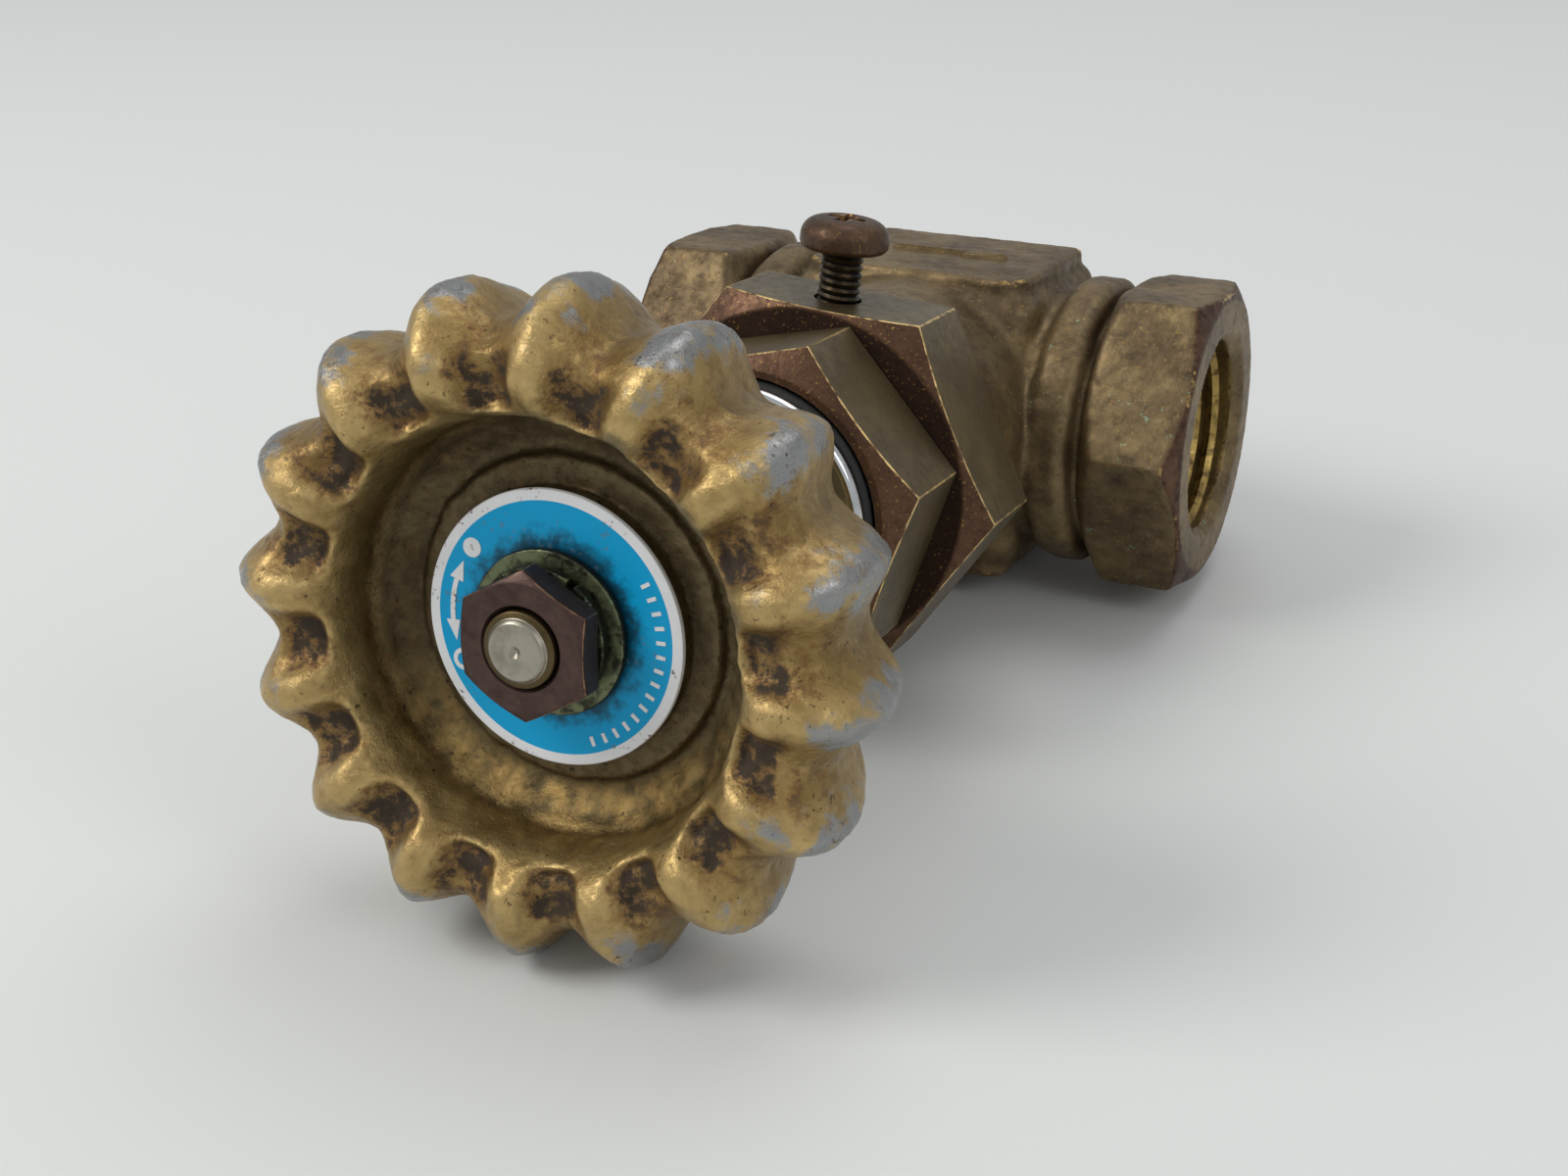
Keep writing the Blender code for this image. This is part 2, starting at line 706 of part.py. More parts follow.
def make_disc(frames, finish):
    """The disc holder with the stem's head caught in it, its rubber face, and the nut that holds the face."""
    axis = frames["disc"]
    socket_r = STEM_HEAD_R + 2 * RUNNING
    ledge_r = socket_r + RETAINER_LEDGE
    retainer_low = HEAD_TOP + GAP
    retainer_top = retainer_low + RETAINER_THICKNESS
    stud_end = DISC_FACE - DISC_STUD_BELOW
    pocket_r = DISC_R + GAP
    turned(
        "disc_holder",
        [
            (0, stud_end),
            (DISC_STUD_R, stud_end),
            (DISC_STUD_R, HOLDER_FLOOR),
            (pocket_r, HOLDER_FLOOR),
            (pocket_r, DISC_FACE + DISC_WALL_RISE),
            (HOLDER_R, DISC_FACE + DISC_WALL_RISE),
            (HOLDER_R, retainer_low),
            (HOLDER_R - HOLDER_EDGE, retainer_top + HOLDER_RIM_RISE),
            (ledge_r, retainer_top + HOLDER_RIM_RISE),
            (ledge_r, retainer_low - GAP),
            (socket_r, retainer_low - GAP),
            (socket_r, HEAD_BOTTOM - GAP),
            (0, HEAD_BOTTOM - GAP),
        ],
        axis,
        finish["forged_brass"],
    )
    ring(
        "head_retainer",
        STEM_NECK_R + 2 * RUNNING,
        ledge_r - PRESS_PLAY,
        retainer_low,
        retainer_top,
        axis,
        finish["forged_brass"],
        COARSE,
    )
    stud_hole = DISC_STUD_R + PRESS_PLAY
    ring("seat_disc", stud_hole, DISC_R, DISC_FACE, HOLDER_FLOOR - GAP, axis, finish["black_rubber"], COARSE)
    washer_top = DISC_FACE - GAP
    washer_low = washer_top - DISC_WASHER_THICKNESS
    washer_finish = finish["forged_brass"]
    ring("disc_washer", stud_hole, DISC_WASHER_R, washer_low, washer_top, axis, washer_finish, COARSE)
    nut_top = washer_low - GAP
    nut_low = nut_top - DISC_NUT_HEIGHT
    nut = chamfered_hex(
        "disc_nut",
        DISC_NUT_FLATS,
        nut_low,
        nut_top,
        0,
        axis,
        finish["forged_brass"],
        low_face=DISC_NUT_FLATS / 2 - DISC_NUT_FACE_INSET,
    )
    cut(nut, rod("disc_nut_hole", stud_hole, nut_low - REACH, nut_top + REACH, axis, steps=COARSE))


# ---- handwheel ----


def rim_arc(centre, radii, start, end, steps):
    """Points on an ellipse's arc round (radius, height) centre, between two angles in degrees."""
    points = []
    for k in range(steps + 1):
        angle = math.radians(start + (end - start) * k / steps)
        points.append((centre[0] + radii[0] * math.cos(angle), centre[1] + radii[1] * math.sin(angle)))
    return points


def wheel_profile():
    """The wheel's section: out from the axis under the web, round the rim, and back over the hub."""
    rear = STEM_SHOULDER + GAP
    web_rear = HUB_RING_FACE - WEB_THICKNESS
    width = WHEEL_R - RIM_CREST_R
    centre = (RIM_CREST_R, RIM_WIDEST)
    behind = rim_arc(centre, (width, RIM_WIDEST - WHEEL_REAR), -120, 0, 5)
    before = rim_arc(centre, (width, WHEEL_CREST - RIM_WIDEST), 0, 90, 4)[1:]
    inside = rim_arc(centre, (RIM_CREST_R - RIM_INNER_R, WHEEL_CREST - RIM_WIDEST), 110, 180, 3)
    return [
        (0, rear),
        (WHEEL_HUB_R, rear),
        (WHEEL_HUB_R + HUB_DRAFT, web_rear),
        (RIM_INNER_R - WEB_EDGE, web_rear),
        *behind,
        *before,
        *inside,
        (RIM_INNER_R - DISH_DRAFT / 2, HUB_RING_FACE),
        (HUB_RING_R + DISH_DRAFT, HUB_RING_FACE - DISH_STEP),
        (HUB_RING_R, HUB_RING_FACE),
        (LABEL_BOSS_R, HUB_RING_FACE),
        (LABEL_BOSS_R - LABEL_OVERHANG, LABEL_SEAT - GAP),
        (0, LABEL_SEAT - GAP),
    ]


def lobed(radius, height, angle):
    """Draws the rim in between the lobes: most at its edge and its crest, and not at all inside the dish."""
    wave = 0.5 - 0.5 * math.cos(LOBES * (angle - math.radians(LOBE_PHASE)))
    outward = max(0.0, (radius - RIM_INNER_R) / (WHEEL_R - RIM_INNER_R))
    forward = (height - RIM_WIDEST) / (WHEEL_CREST - RIM_WIDEST)
    return radius - LOBE_DEPTH * wave * outward, height - LOBE_DEPTH / 2 * wave * outward * max(0.0, forward)


def make_wheel(frames, finish):
    axis = frames["spindle"]
    wheel = turned(
        "handwheel", wheel_profile(), axis, finish["gold_zinc"], steps=LOBES * LOBE_STEPS, radius_at=lobed
    )
    half = STEM_SQUARE / 2 + GAP
    square_top = STEM_SHOULDER + STEM_SQUARE_LENGTH + GAP
    cut(wheel, box("wheel_square", (-half, -half, STEM_SHOULDER - REACH), (half, half, square_top), axis))
    cut(wheel, rod("wheel_hole", BOLT_HOLE_R, square_top - REACH, LABEL_SEAT + REACH, axis, steps=COARSE))
    return wheel


def make_wheel_fixings(frames, finish):
    """The printed disc, the two washers and the nut that hold the handwheel on the stem."""
    axis = frames["spindle"]
    label_top = LABEL_SEAT + LABEL_THICKNESS
    ring("wheel_label", BOLT_HOLE_R, LABEL_R, LABEL_SEAT, label_top, axis, finish["printed_blue"])
    low = label_top + GAP
    high = low + WASHER_THICKNESS
    ring("wheel_washer", BOLT_HOLE_R, WASHER_R, low, high, axis, finish["dark_steel"])
    low = high + GAP
    high = low + SPRING_WASHER_THICKNESS
    ring("spring_washer", BOLT_HOLE_R, SPRING_WASHER_R, low, high, axis, finish["dark_steel"])
    low = high + GAP
    high = low + WHEEL_NUT_HEIGHT
    face_r = WHEEL_NUT_FLATS / 2 - WHEEL_NUT_FACE_INSET
    turn = 30 + WHEEL_NUT_TURN
    steel = finish["bronzed_steel"]
    nut = chamfered_hex("wheel_nut", WHEEL_NUT_FLATS, low, high, turn, axis, steel, high_face=face_r)
    cut(nut, rod("wheel_nut_hole", WHEEL_THREAD_R + RUNNING, low - REACH, high + REACH, axis))


# ---- lock screw ----


def make_lock(frames, finish):
    axis = frames["lock"]
    lip = 0.4
    top = LOCK_HEAD + LOCK_HEAD_HEIGHT
    dome_centre = (LOCK_HEAD_R - LOCK_DOME_WIDTH, top - LOCK_DOME_HEIGHT)
    dome = rim_arc(dome_centre, (LOCK_DOME_WIDTH, LOCK_DOME_HEIGHT), 0, 90, 4)
    screw = turned(
        "lock_screw",
        [
            (0, LOCK_TIP),
            (LOCK_THREAD_R - lip, LOCK_TIP),
            (LOCK_THREAD_R, LOCK_TIP + lip),
            (LOCK_THREAD_R, LOCK_HEAD),
            (LOCK_HEAD_R - lip, LOCK_HEAD),
            (LOCK_HEAD_R, LOCK_HEAD + lip),
            *dome,
            (0, top),
        ],
        axis,
        finish["bronzed_steel"],
    )
    span, width, floor = LOCK_RECESS_SPAN / 2, LOCK_RECESS_WIDTH / 2, top - LOCK_RECESS_DEPTH
    cut(screw, box("recess_long", (-span, -width, floor), (span, width, top + REACH), axis))
    cut(screw, box("recess_across", (-width, -span, floor), (width, span, top + REACH), axis))
    pad_top = LOCK_TIP - GAP
    rod("lock_pad", LOCK_PAD_R, pad_top - LOCK_PAD_LENGTH, pad_top, axis, finish["white_ptfe"], COARSE)


# ---- frames, and the way the valve comes to rest ----


def make_frames():
    valve = empty("valve_frame")
    stem = empty("stem_frame", valve, Matrix.Rotation(math.radians(90), 4, "X"))
    lock_place = (
        Matrix.Translation((0, 0, LOCK_STATION * MM))
        @ Matrix.Rotation(math.radians(LOCK_TURN), 4, "Z")
        @ Matrix.Rotation(math.radians(90), 4, "Y")
    )
    return {
        "valve": valve,
        "stem": stem,
        "right": empty("right_port_frame", valve, Matrix.Rotation(math.radians(90), 4, "Y")),
        "left": empty("left_port_frame", valve, Matrix.Rotation(math.radians(-90), 4, "Y")),
        "spindle": empty("spindle_axis", stem),
        "disc": empty("disc_axis", stem),
        "lock": empty("lock_screw_axis", stem, lock_place),
    }


def world_points(*objects):
    """The evaluated vertices of these objects, in world space."""
    graph = bpy.context.evaluated_depsgraph_get()
    found = []
    for item in objects:
        evaluated = item.evaluated_get(graph)
        mesh = evaluated.to_mesh()
        points = np.empty(len(mesh.vertices) * 3, np.float32)
        mesh.vertices.foreach_get("co", points)
        evaluated.to_mesh_clear()
        world = np.array(evaluated.matrix_world)
        found.append(points.reshape(-1, 3) @ world[:3, :3].T + world[:3, 3])
    return np.concatenate(found)


def rest_tilt(rear, front):
    """How far the stem's end lifts, in radians, so that both sets of points just touch a level bench."""
    low, high = 0.0, math.radians(30)
    for _ in range(40):
        tilt = (low + high) / 2
        rear_low, front_low = (
            (points[:, 2] * math.cos(tilt) - points[:, 1] * math.sin(tilt)).min() for points in (rear, front)
        )
        low, high = (tilt, high) if front_low < rear_low else (low, tilt)
    return (low + high) / 2


def settle(valve, body, wheel):
    """Lays the valve on the bench, with the middle of its box over the origin."""
    bpy.context.view_layer.update()
    tilt = rest_tilt(world_points(body), world_points(wheel))
    valve.rotation_euler = (-tilt, 0, 0)
    bpy.context.view_layer.update()
    solids = [item for item in bpy.data.objects if item.type == "MESH" and not item.hide_render]
    points = world_points(*solids)
    low, high = points.min(axis=0), points.max(axis=0)
    valve.location = (-(low[0] + high[0]) / 2, -(low[1] + high[1]) / 2, -low[2])
    bpy.context.view_layer.update()


def main():
    for old in list(bpy.data.objects):
        bpy.data.objects.remove(old)
    frames = make_frames()
    finish = make_materials()
    body = make_body(frames, finish)
    make_bonnet(frames, finish)
    follower_top = make_packing(frames, finish)
    make_gland(frames, finish, follower_top)
    make_stem(frames, finish)
    make_disc(frames, finish)
    wheel = make_wheel(frames, finish)
    make_wheel_fixings(frames, finish)
    make_lock(frames, finish)
    settle(frames["valve"], body, wheel)


main()
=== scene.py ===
"""Looks of a used brass stop valve: forged body, milled hexagons, painted cast handwheel and fixings.

Pieces are drawn in millimetres in one of three local frames, and then placed in the model's own frame:
  stem frame   Z out along the stem, X along the run, Y up, origin where the run and stem axes cross
  valve frame  X along the run, -Y towards the handwheel, Z up, same origin
  lock frame   Z out along the lock screw, X towards the body, origin on the stem axis
"""

import json
import math

import bmesh
import bpy
import numpy as np
from mathutils import Matrix, Vector


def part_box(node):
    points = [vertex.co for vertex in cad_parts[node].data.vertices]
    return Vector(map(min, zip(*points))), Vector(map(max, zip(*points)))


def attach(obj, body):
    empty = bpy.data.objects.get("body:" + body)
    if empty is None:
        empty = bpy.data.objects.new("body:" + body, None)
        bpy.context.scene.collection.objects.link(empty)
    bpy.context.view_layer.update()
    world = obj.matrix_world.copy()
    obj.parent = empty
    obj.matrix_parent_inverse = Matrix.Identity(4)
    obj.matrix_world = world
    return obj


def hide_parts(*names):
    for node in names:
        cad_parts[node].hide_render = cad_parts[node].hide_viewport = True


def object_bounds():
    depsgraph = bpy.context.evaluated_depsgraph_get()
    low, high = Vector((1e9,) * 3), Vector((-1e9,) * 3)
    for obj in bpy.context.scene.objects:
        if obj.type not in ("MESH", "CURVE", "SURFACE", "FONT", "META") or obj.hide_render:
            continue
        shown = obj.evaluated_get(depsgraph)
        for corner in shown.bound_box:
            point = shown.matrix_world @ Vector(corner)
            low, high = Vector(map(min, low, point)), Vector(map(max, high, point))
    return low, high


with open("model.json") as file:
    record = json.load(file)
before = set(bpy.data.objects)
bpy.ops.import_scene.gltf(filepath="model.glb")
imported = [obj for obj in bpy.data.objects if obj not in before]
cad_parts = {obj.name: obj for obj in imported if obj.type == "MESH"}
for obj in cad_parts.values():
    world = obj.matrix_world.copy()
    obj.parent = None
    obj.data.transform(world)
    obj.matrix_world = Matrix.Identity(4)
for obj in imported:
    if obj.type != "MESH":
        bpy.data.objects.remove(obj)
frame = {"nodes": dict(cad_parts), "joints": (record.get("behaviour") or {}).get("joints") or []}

cad_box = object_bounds()

MM = 0.001
SEED = 7

# ---- frames of the valve, from the joints ----

JOINTS = {joint["name"]: joint for joint in frame["joints"]}
RUN = Vector((1, 0, 0))


def placed(origin, x_axis, z_axis):
    """Takes millimetres in a local frame to metres in the model's frame."""
    z_axis = Vector(z_axis).normalized()
    x_axis = (Vector(x_axis) - z_axis * z_axis.dot(Vector(x_axis))).normalized()
    turn = Matrix((x_axis, z_axis.cross(x_axis), z_axis)).transposed().to_4x4()
    return Matrix.Translation(Vector(origin)) @ turn @ Matrix.Scale(MM, 4)


CROSSING = Vector(JOINTS["wheel_turn"]["pos_m"])
STEM_AXIS = Vector(JOINTS["wheel_turn"]["axis"])
STEM = placed(CROSSING, RUN, STEM_AXIS)
VALVE = placed(CROSSING, RUN, RUN.cross(-STEM_AXIS))
LOCK = placed(JOINTS["lock_screw_turn"]["pos_m"], -STEM_AXIS, JOINTS["lock_screw_turn"]["axis"])


def span(node, place=STEM):
    """A CAD node's lowest and highest height, and its largest radius, in a local frame, mm."""
    points = np.array([vertex.co for vertex in frame["nodes"][node].data.vertices])
    back = np.array(place.inverted())
    local = points @ back[:3, :3].T + back[:3, 3]
    return local[:, 2].min(), local[:, 2].max(), np.hypot(local[:, 0], local[:, 1]).max()


BONNET_HEX_LENGTH = 10.3
NECK_GAP = 1.4  # from the neck's mouth to the bonnet's seat
GLAND_REAR, GLAND_FACE, _ = span("gland_nut")
BONNET_BOTTOM, BOX_TOP, _ = span("bonnet")
BONNET_FACE = GLAND_REAR - 0.3
BONNET_SEAT = BONNET_FACE - BONNET_HEX_LENGTH
NECK_MOUTH = BONNET_SEAT - NECK_GAP
WHEEL_REAR, _, WHEEL_R = span("handwheel")
LABEL_LOW, LABEL_TOP, LABEL_R = span("wheel_label")
HALF_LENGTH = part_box("valve_body")[1].x / MM
CHAMFER = math.radians(30)  # how far back a hexagon's turned corners lean


# ---- colours and nodes ----


def linear(code, alpha=1.0):
    """An sRGB hex colour as linear RGBA."""
    parts = [int(code[k:k + 2], 16) / 255 for k in (0, 2, 4)]
    return (*[c / 12.92 if c <= 0.04045 else ((c + 0.055) / 1.055) ** 2.4 for c in parts], alpha)


def add(tree, kind, feeds=None, out=0, **settings):
    """Adds a node with its settings, links or sets its inputs, and gives back one of its outputs."""
    node = tree.nodes.new(kind)
    for name, value in settings.items():
        setattr(node, name, value)
    for key, source in (feeds or {}).items():
        if isinstance(source, bpy.types.NodeSocket):
            tree.links.new(source, node.inputs[key])
        else:
            node.inputs[key].default_value = source
    return node.outputs[out] if len(node.outputs) else node


def reckon(tree, sign, *terms):
    """Arithmetic between sockets or numbers."""
    return add(tree, "ShaderNodeMath", dict(enumerate(terms)), operation=sign)


# Socket numbers of the Mix node for colours and for plain values.
COLOUR_MIX = (6, 7, 2)
VALUE_MIX = (2, 3, 0)


def times(tree, first, *others):
    """The product of sockets or numbers."""
    for other in others:
        first = reckon(tree, "MULTIPLY", first, other)
    return first


def layered(tree, base, *layers):
    """A base with layers over it; the last one lies on top, and a hex string is a colour.

    A layer is (mask, top), or (mask, share, top) to show only that share of it.
    """
    base = linear(base) if isinstance(base, str) else base
    for *mask, top in layers:
        top = linear(top) if isinstance(top, str) else top
        is_colour = not isinstance(top, (int, float))
        low, high, out = COLOUR_MIX if is_colour else VALUE_MIX
        feeds = {0: times(tree, *mask), low: base, high: top}
        base = add(tree, "ShaderNodeMix", feeds, out, data_type="RGBA" if is_colour else "FLOAT")
    return base


def local(tree, place):
    """Object coordinates as millimetres in one of the valve's local frames."""
    position = add(tree, "ShaderNodeTexCoord", out="Object")
    turn = place.to_3x3().normalized().to_euler()
    feeds = {"Vector": position, "Location": place.translation, "Rotation": turn, "Scale": (MM, MM, MM)}
    return add(tree, "ShaderNodeMapping", feeds, vector_type="TEXTURE")


def patches(tree, where, size, low, high, detail=4.0, roughness=0.6):
    """A mask of uneven patches about size mm across; it starts at low and is full at high, of 0 to 1."""
    feeds = {"Vector": where, "Scale": 1 / size, "Detail": detail, "Roughness": roughness}
    cloud = add(tree, "ShaderNodeTexNoise", feeds)
    return eased(tree, cloud, low, high)


def eased(tree, value, low, high):
    """0 below low and 1 above high, with a smooth step between."""
    feeds = {"Value": value, "From Min": low, "From Max": high}
    return add(tree, "ShaderNodeMapRange", feeds, interpolation_type="SMOOTHSTEP")


def both(tree, first, first_share, second, second_share):
    """A weighted sum of two masks."""
    return reckon(tree, "MULTIPLY_ADD", second, second_share, times(tree, first, first_share))


def stretched(tree, where, x, y, z):
    """Coordinates with each axis multiplied, to draw a pattern out into streaks."""
    return add(tree, "ShaderNodeMapping", {"Vector": where, "Scale": (x, y, z)})


def marked(tree, name):
    """One of the mesh's own attributes."""
    return add(tree, "ShaderNodeAttribute", out="Fac", attribute_name=name)


def new_material(name):
    """A material with an empty tree, and the tree."""
    made = bpy.data.materials.new(name)
    made.use_nodes = True
    made.node_tree.nodes.clear()
    return made, made.node_tree


def finish(tree, colour, roughness, metallic, height=None, depth=0.03, **plain):
    """The shader: colour, roughness, metallic, a bump depth mm deep, and sockets that hold a plain value."""
    feeds = {"Base Color": colour, "Roughness": roughness, "Metallic": metallic}
    feeds.update({name.replace("_", " "): value for name, value in plain.items()})
    if height is not None:
        bump = {"Height": height, "Distance": depth * MM, "Strength": 1.0}
        feeds["Normal"] = add(tree, "ShaderNodeBump", bump)
    shader = add(tree, "ShaderNodeBsdfPrincipled", feeds)
    add(tree, "ShaderNodeOutputMaterial", {"Surface": shader})


# ---- materials ----


def aged_brass(
    name, place, tones, grain=1.2, streak=None, *,
    verdigris=0.0, gold=0.0, wear="D9B06A", pits=0.6, gloss=0.4, cut=None,
):
    """Brass or steel under a patina: mottled, worn bright along its edges, darker in its hollows.

    tones are the dark, middle and light patina; grain is its size, mm; streak multiplies the axes to draw out
    a cutter's lines; cut gives the tones of the faces that the "cut" attribute marks as machined.
    """
    made, tree = new_material(name)
    where = local(tree, place)
    dark, middle, light = tones
    broad = patches(tree, where, grain * 6, 0.35, 0.68)
    fine = patches(tree, where, grain, 0.42, 0.75, 6.0, 0.7)
    lines = patches(tree, stretched(tree, where, *(streak or (1, 1, 1))), 1.0, 0.3, 0.7, 3.0)
    speckle = patches(tree, where, 0.28, 0.62, 0.72, 2.0)
    worn, hollow = marked(tree, "worn"), marked(tree, "hollow")
    rubbed = eased(tree, both(tree, worn, 0.7, patches(tree, where, 1.1, 0.1, 0.9), 0.6), 0.82, 1.08)
    colour = layered(
        tree,
        middle,
        (broad, 0.75, light),
        (fine, 0.55, dark),
        (lines, 0.45 if streak else 0.2, light),
        (hollow, 0.8, dark),
        (speckle, gold, "C9A24E"),
        (rubbed, wear),
    )
    if cut:
        sheen = layered(tree, cut[1], (broad, cut[2]), (fine, cut[0]))
        machined = eased(tree, marked(tree, "cut"), 0.25, 0.75)
        colour = layered(tree, colour, (machined, sheen), (rubbed, wear))
    if verdigris:
        bloom = times(tree, patches(tree, where, 0.7, 0.63, 0.7), patches(tree, where, 9.0, 0.5, 0.62))
        colour = layered(tree, colour, (bloom, verdigris, "8FB09A"))
    roughness = layered(tree, gloss, (fine, gloss + 0.14), (hollow, 0.7), (rubbed, gloss - 0.1))
    height = layered(tree, fine, (0.5 if streak else 0.35, lines), (speckle, pits, 0.0))
    finish(tree, colour, roughness, 0.72, height, 0.015 if streak else 0.035)
    return made


def painted_casting():
    """Gold enamel on a die-cast zinc wheel: paint rubbed through on the lobes, dirt packed in the valleys.

    The paint is satin with metal flake in it, the bare zinc is blue-grey, and the machined dish is rough
    bronze, with a painted highlight of bright gold patches along the low side of its floor, which faces up.
    """
    made, tree = new_material("gold_paint_on_cast_zinc")
    where = local(tree, STEM)
    tip, valley, dish = marked(tree, "tip"), marked(tree, "valley"), marked(tree, "dish")
    worn, hollow = marked(tree, "worn"), marked(tree, "hollow")
    broad = patches(tree, where, 5.0, 0.35, 0.65)
    fine = patches(tree, where, 0.9, 0.4, 0.72, 6.0, 0.7)
    scuff = patches(tree, where, 3.4, 0.3, 0.7, 6.0, 0.62)
    smear = patches(tree, where, 1.6, 0.35, 0.65, 6.0, 0.7)
    crumbs = patches(tree, where, 0.5, 0.6, 0.68, 4.0)
    bare = eased(tree, both(tree, tip, 0.72, scuff, 0.55), 0.62, 0.9)
    packed = both(tree, valley, 0.7, smear, 0.62)
    stained = eased(tree, packed, 0.45, 0.8)
    grime = eased(tree, packed, 0.66, 1.05)
    specks = times(tree, crumbs, patches(tree, where, 3.5, 0.45, 0.6))
    paint = layered(
        tree,
        "8F7544",
        (broad, "A78C5A"),
        (fine, 0.5, "6E5530"),
        # raised edges painted lighter gold: partly rubbed paint, partly a painted highlight along the crests
        (worn, 0.6, "D0B47A"),
        (hollow, 0.6, "463722"),
    )
    across = add(tree, "ShaderNodeSeparateXYZ", {0: where}, "X")
    up = add(tree, "ShaderNodeSeparateXYZ", {0: where}, "Y")
    radius_squared = reckon(tree, "MULTIPLY_ADD", across, across, times(tree, up, up))
    off_ring = eased(tree, radius_squared, (HUB_RING_R + 0.2) ** 2, (HUB_RING_R + 1.4) ** 2)
    # painted highlight: the dish's low side, which faces up to the light, is made brighter gold in patches
    painted_highlight_low_side = times(tree, eased(tree, up, -2.0, -14.0), off_ring)
    bronze = layered(
        tree,
        "6F6248",
        (off_ring, "54472F"),
        (broad, 0.6, "786A4C"),
        (fine, 0.5, "433726"),
        # painted highlight in bright gold patches on the dish's low side
        (times(tree, patches(tree, where, 1.8, 0.3, 0.66), painted_highlight_low_side), 0.85, "C2A265"),
        (hollow, 0.6, "2C2318"),
    )
    colour = layered(
        tree,
        paint,
        (dish, bronze),
        (bare, 0.88, "8F9499"),
        (stained, 0.6, "7A5630"),
        (grime, 0.92, "2C2318"),
        (specks, 0.8, "231C14"),
    )
    roughness = layered(tree, 0.33, (fine, 0.45), (dish, 0.5), (bare, 0.26), (grime, 0.75))
    metallic = layered(tree, 0.72, (dish, 0.8), (bare, 0.9), (grime, 0.1))
    height = layered(tree, fine, (0.5, smear), (crumbs, 0.1))
    finish(tree, colour, roughness, metallic, height, 0.06)
    return made


def plain_metal(name, colour, stain, gloss, streak=(1, 1, 1), depth=0.006):
    """A cleaner metal with faint lines or stains in it."""
    made, tree = new_material(name)
    where = local(tree, STEM)
    lines = patches(tree, stretched(tree, where, *streak), 0.8, 0.3, 0.7, 3.0)
    stains = patches(tree, where, 2.2, 0.45, 0.7, 5.0)
    tone = layered(tree, colour, (stains, 0.6, stain), (marked(tree, "hollow"), 0.7, "1E1A15"))
    roughness = layered(tree, gloss, (lines, gloss + 0.08), (stains, gloss + 0.12))
    finish(tree, tone, roughness, 1.0, lines, depth)
    return made


def printed(name, colour, dirt):
    """Printed ink on thin aluminium, even, satin and scuffed, with greasy dirt and painted shade round the
    washers.
    """
    made, tree = new_material(name)
    where = local(tree, STEM)
    flat = add(tree, "ShaderNodeVectorMath", {0: where, 1: (1, 1, 0)}, operation="MULTIPLY")
    radius = add(tree, "ShaderNodeVectorMath", {0: flat}, 1, operation="LENGTH")
    ragged = both(tree, radius, 1.0, patches(tree, where, 1.0, 0.2, 0.8), 1.4)
    # painted shade: a dark ring round the washers, partly greasy dirt and partly the shade that the nut and
    # washers cast
    greasy_dirt_and_painted_shade = eased(tree, ragged, 8.6, 6.9)
    film = patches(tree, where, 6.0, 0.4, 0.7)
    scuffs = times(tree, patches(tree, where, 0.5, 0.58, 0.64), patches(tree, where, 5.0, 0.52, 0.6))
    shade = layered(tree, colour, (film, 0.1, "2E6C80"), (greasy_dirt_and_painted_shade, 0.85, "16242A"), (scuffs, dirt, "6E6450"))
    roughness = layered(tree, 0.34, (scuffs, 0.6))
    finish(tree, shade, roughness, 0.0, patches(tree, where, 0.3, 0.3, 0.7), 0.004, Specular_IOR_Level=0.2)
    return made


def soft_stuff(name, colour, light, gloss, grain, depth=0.02):
    """Rubber, fibre or plastic: matt, with a fine grain."""
    made, tree = new_material(name)
    where = local(tree, STEM)
    mottle = patches(tree, where, grain, 0.35, 0.7, 5.0)
    dust = patches(tree, where, 3.0, 0.5, 0.75)
    tone = layered(tree, colour, (mottle, 0.5, light))
    finish(tree, tone, layered(tree, gloss, (dust, min(1.0, gloss + 0.15))), 0.0, mottle, depth)
    return made


